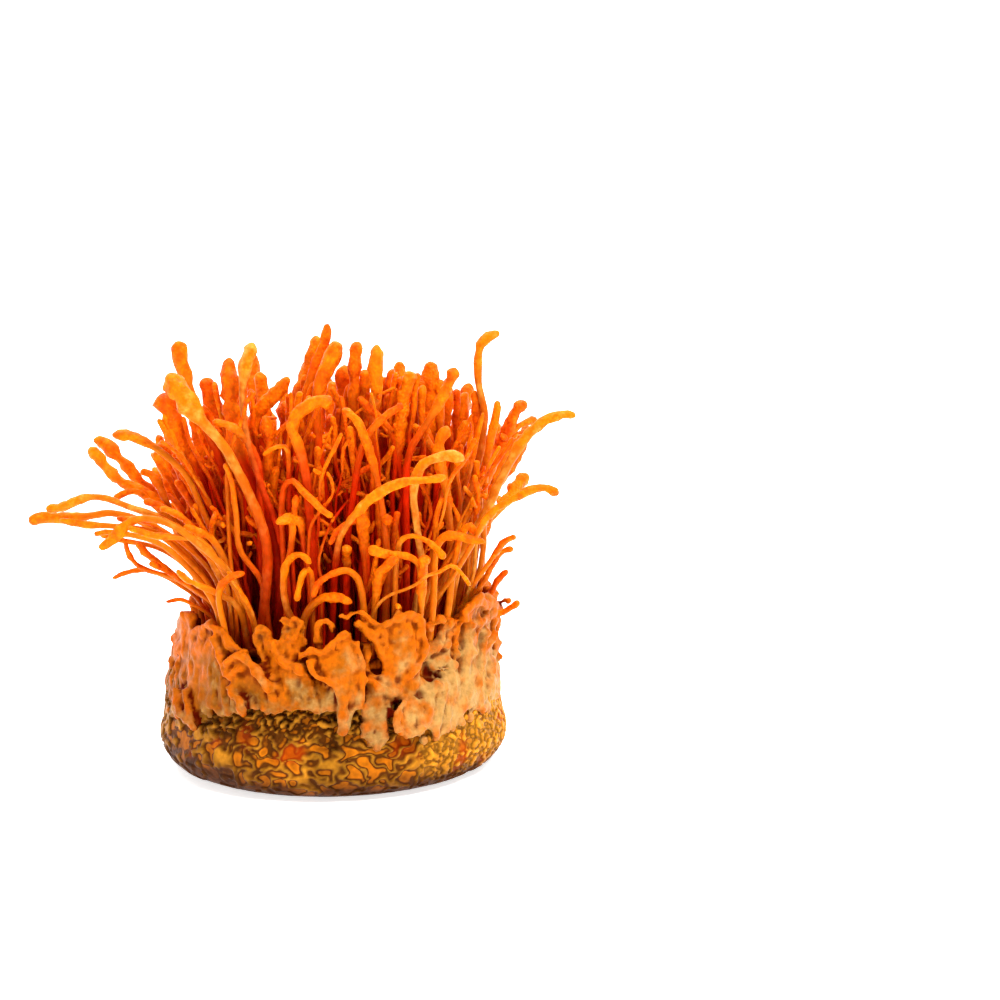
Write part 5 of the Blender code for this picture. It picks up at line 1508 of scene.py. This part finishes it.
    def hollows(self, mesh, spots, normals):
        """How far each vertex lies under its surroundings, in millimetres, or over them where negative."""
        ends = np.empty(len(mesh.edges) * 2, np.int32)
        mesh.edges.foreach_get("vertices", ends)
        one, two = ends.reshape(-1, 2).T
        count = len(spots)
        links = np.maximum(np.bincount(one, minlength=count) + np.bincount(two, minlength=count), 1)
        even = spots.copy()
        for _ in range(SMOOTHING_ROUNDS):
            for axis in range(3):
                line = even[:, axis]
                total = np.bincount(one, line[two], count) + np.bincount(two, line[one], count)
                even[:, axis] = 0.5 * line + 0.5 * total / links
        return np.sum((even - spots) * normals, axis=1)


class LayFloor(Operator):
    """Lay the bumpy mycelium floor that the stalks stand on"""

    bl_idname = "cordyceps.lay_floor"
    bl_label = "Lay Mycelium Floor"

    def execute(self, context):
        top = [(radius, FLOOR_HEIGHT) for radius in np.linspace(0.0, FLOOR_RADIUS, 60)]
        under = FLOOR_HEIGHT - FLOOR_THICKNESS
        bm = lathe([*top, (FLOOR_RADIUS, under), (0.0, under)], steps=300)
        for vert in bm.verts:
            if vert.co.z > FLOOR_HEIGHT - 1.0:
                bead = max(0.0, 0.5 - noise.voronoi(vert.co / 2.4)[0][0])
                vert.co.z += 0.8 * noise.noise(vert.co / 4) + 2.4 * bead
        mesh = as_mesh(bm, "mycelium_floor", MM)
        rise = np.array([vert.co.z for vert in mesh.vertices]) / MM - FLOOR_HEIGHT
        # The floor is darkened between its beads as painted shade.
        mark(mesh, rim=0.3 + 0.5 * smooth_step(0, 1.2, rise), crease=smooth_step(1.5, -0.1, rise))
        finish_piece("mycelium_floor", mesh, frilled_mycelium)
        return {"FINISHED"}


class MouldBlock(Operator):
    """Mould the rice block with its marbled relief"""

    bl_idname = "cordyceps.mould_block"
    bl_label = "Mould Rice Block"

    def execute(self, context):
        ui = context.scene.cordyceps_block
        side = [Vector((radius, 0, height)) for radius, height in BLOCK_SIDE]
        run = sum((b - a).length for a, b in zip(side, side[1:]))
        line = smooth_line(side, np.linspace(0, 1, int(run / BLOCK_ROW_HEIGHT)))
        under = [(radius, 0.0) for radius in BLOCK_UNDERSIDE_RADII]
        top = [(radius, BLOCK_TOP) for radius in BLOCK_TOP_RADII]
        bm = lathe([*under, *[(spot[0], spot[2]) for spot in line], *top], steps=BLOCK_TURN_STEPS)
        values = {"marble": [], "patch": [], "low": [], "gold": []}
        for vert in bm.verts:
            spot = vert.co.copy()
            gold = float(smooth_step(18, 34, spot.x + 9 * noise.noise(spot / 7)))
            crust = float(smooth_step(13, 19, spot.z + 3 * noise.noise(spot / 4)))
            marble = self.marble(spot, ui.marbling / MM, max(0.9 * gold, crust))
            patch = noise.noise(spot / 8 + Vector((3, 7, 1)))
            outer = 1.0 if spot.xy.length > 33 and spot.z > 0.05 else 0.0
            crusty = 1 + 2.4 * crust * (1 - gold)
            rise = ui.relief / MM * crusty * (float(smooth_step(-0.02, 0.14, marble)) - 0.5)
            rise += 0.5 * noise.noise(spot / 9)
            way = Vector((spot.x, spot.y, 0)).normalized() if spot.xy.length > 1e-6 else Vector()
            vert.co += way * rise * outer * float(smooth_step(0, 2, spot.z))
            values["marble"].append(0.5 + 0.55 * marble)
            values["patch"].append(0.7 * float(smooth_step(0.2, 0.5, patch) * smooth_step(0.2, 0.0, marble)))
            # low: darker towards the bottom, reaching higher at the left, with painted shade under the
            # frills' hem near the top and over the left side, away from the light.
            left = float(smooth_step(-8, -34, spot.x))
            low = 1.4 * float(smooth_step(8.0 + 4 * left, 1.0, spot.z))
            low += 0.4 * crust * (1 - gold)
            low += 0.25 * left
            values["low"].append(min(0.92, low * (0.8 + 0.5 * noise.noise(spot / 4))))
            values["gold"].append(gold)
        mesh = as_mesh(bm, "marbled_block", MM)
        mark(mesh, **values)
        finish_piece("marbled_block", mesh, marbled_rice, ["rice_block"])
        return {"FINISHED"}

    def marble(self, spot, width, share):
        """The marbling at a spot, over 0 on an island: winding and this wide, and finer by this share."""
        flat = Vector((spot.x, spot.y, spot.z * 1.3))
        warp = noise.noise_vector(flat / (width * 1.1)) * width * 0.5
        coarse = noise.noise((flat + warp) / width) + 0.35 * noise.noise((flat + warp) / (width * 0.45))
        winding = 0.36 - 2.4 * abs(noise.noise((flat + 1.3 * warp) / (width * 1.3)))
        wind = 0.85 * float(smooth_step(-28, -17, spot.x))
        coarse = (1 - wind) * coarse + wind * winding
        fine = noise.noise((flat + 0.6 * warp) / (width * 0.48)) + 0.3 * noise.noise(flat / (width * 0.25))
        return (1 - share) * coarse + share * fine


class SetStage(Operator):
    """Set the floor, the lights and the camera"""

    bl_idname = "cordyceps.set_stage"
    bl_label = "Set Stage"

    def execute(self, context):
        self.place_camera(context.scene)
        self.lay_backdrop(context.scene)
        self.hang_lights(context.scene)
        return {"FINISHED"}

    def place_camera(self, scene):
        """Puts the camera where the photographer stood."""
        eye = bpy.data.objects.new("camera", bpy.data.cameras.new("camera"))
        eye.location = EYE * MM
        eye.rotation_euler = (math.radians(90 - EYE_TILT), 0, 0)
        eye.data.lens = LENS
        eye.data.sensor_width = 36.0
        eye.data.clip_start = 0.01
        scene.collection.objects.link(eye)
        scene.camera = eye
        scene.view_settings.view_transform = "Standard"

    def lay_backdrop(self, scene):
        """Lays a sheet, in metres, that is flat under the bunch and curves up far behind it."""
        reach, bend, start, height = 9.0, 0.6, 0.9, 2.2
        turns = np.linspace(0, math.pi / 2, 16)
        curve = [(0, start + bend * math.sin(turn), bend - bend * math.cos(turn)) for turn in turns]
        bm = bmesh.new()
        line = [bm.verts.new(spot) for spot in [(0, -reach, 0), *curve, (0, start + bend, height)]]
        edges = [bm.edges.new(pair) for pair in zip(line, line[1:])]
        bmesh.ops.translate(bm, verts=line, vec=(-reach, 0, 0))
        grown = bmesh.ops.extrude_edge_only(bm, edges=edges)["geom"]
        moved = [item for item in grown if isinstance(item, bmesh.types.BMVert)]
        bmesh.ops.translate(bm, verts=moved, vec=(2 * reach, 0, 0))
        bmesh.ops.recalc_face_normals(bm, faces=bm.faces[:])
        mesh = as_mesh(bm, "floor")
        mesh.shade_smooth()
        mesh.materials.append(once(pale_floor))
        floor = bpy.data.objects.new("floor", mesh)
        scene.collection.objects.link(floor)

    def hang_lights(self, scene):
        """Hangs the soft lights, each at a place in metres and aimed at another, and lights the surround."""
        ui = scene.cordyceps_stage
        for name, place, aim, power, size in (
            ("key_light", (0.30, -0.42, 0.78), (0, 0, 0.05), ui.key_power, 0.3),
            ("fill_light", (-0.60, -0.35, 0.35), (0, 0, 0.05), ui.fill_power, 0.5),
            ("back_light", (0.0, 0.45, 1.3), (0, 1.5, 0.3), ui.back_power, 1.2),
            ("floor_light", (-0.45, 0.30, 0.80), (-0.20, 0.05, 0.0), ui.floor_power, 0.5),
        ):
            lamp = bpy.data.lights.new(name, "AREA")
            lamp.energy = power
            lamp.size = size
            light = bpy.data.objects.new(name, lamp)
            light.location = place
            light.rotation_euler = (Vector(aim) - Vector(place)).to_track_quat("-Z", "Y").to_euler()
            scene.collection.objects.link(light)
        world = bpy.data.worlds.new("surround")
        world.use_nodes = True
        surround = world.node_tree.nodes["Background"]
        surround.inputs["Color"].default_value = (1.0, 0.99, 0.97, 1.0)
        surround.inputs["Strength"].default_value = ui.air
        scene.world = world


STEPS = (
    SetStage, MouldBlock, LayFloor, GrowFrills, GrowSingleStalks, GrowTufts, GrowThinStalks, GrowFrontSprigs,
)
GROUPS = (
    ("cordyceps_stalks", StalkSettings),
    ("cordyceps_mycelium", MyceliumSettings),
    ("cordyceps_block", BlockSettings),
    ("cordyceps_stage", StageSettings),
)


class CordycepsPanel(Panel):
    """The settings and steps of the bunch"""

    bl_idname = "VIEW3D_PT_cordyceps"
    bl_label = "Cordyceps Bunch"
    bl_space_type = "VIEW_3D"
    bl_region_type = "UI"
    bl_category = "Cordyceps"

    def draw(self, context):
        for label, group in GROUPS:
            box = self.layout.box()
            settings = getattr(context.scene, label)
            for field in group.__annotations__:
                box.prop(settings, field)
        for step in STEPS:
            self.layout.operator(step.bl_idname)


def register():
    for _, group in GROUPS:
        bpy.utils.register_class(group)
    for label, group in GROUPS:
        setattr(bpy.types.Scene, label, PointerProperty(type=group))
    for step in STEPS:
        bpy.utils.register_class(step)
    bpy.utils.register_class(CordycepsPanel)


def unregister():
    bpy.utils.unregister_class(CordycepsPanel)
    for step in reversed(STEPS):
        bpy.utils.unregister_class(step)
    for label, group in reversed(GROUPS):
        delattr(bpy.types.Scene, label)
        bpy.utils.unregister_class(group)


def main():
    # Without a seed, noise_vector would start from the clock and give another result each run.
    noise.seed_set(SEED)
    register()
    for item in list(bpy.data.objects):
        if item.type in {"CAMERA", "LIGHT"}:
            bpy.data.objects.remove(item)
    for step in STEPS:
        group, name = step.bl_idname.split(".")
        getattr(getattr(bpy.ops, group), name)()
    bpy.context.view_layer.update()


if __name__ == "__main__":
    main()
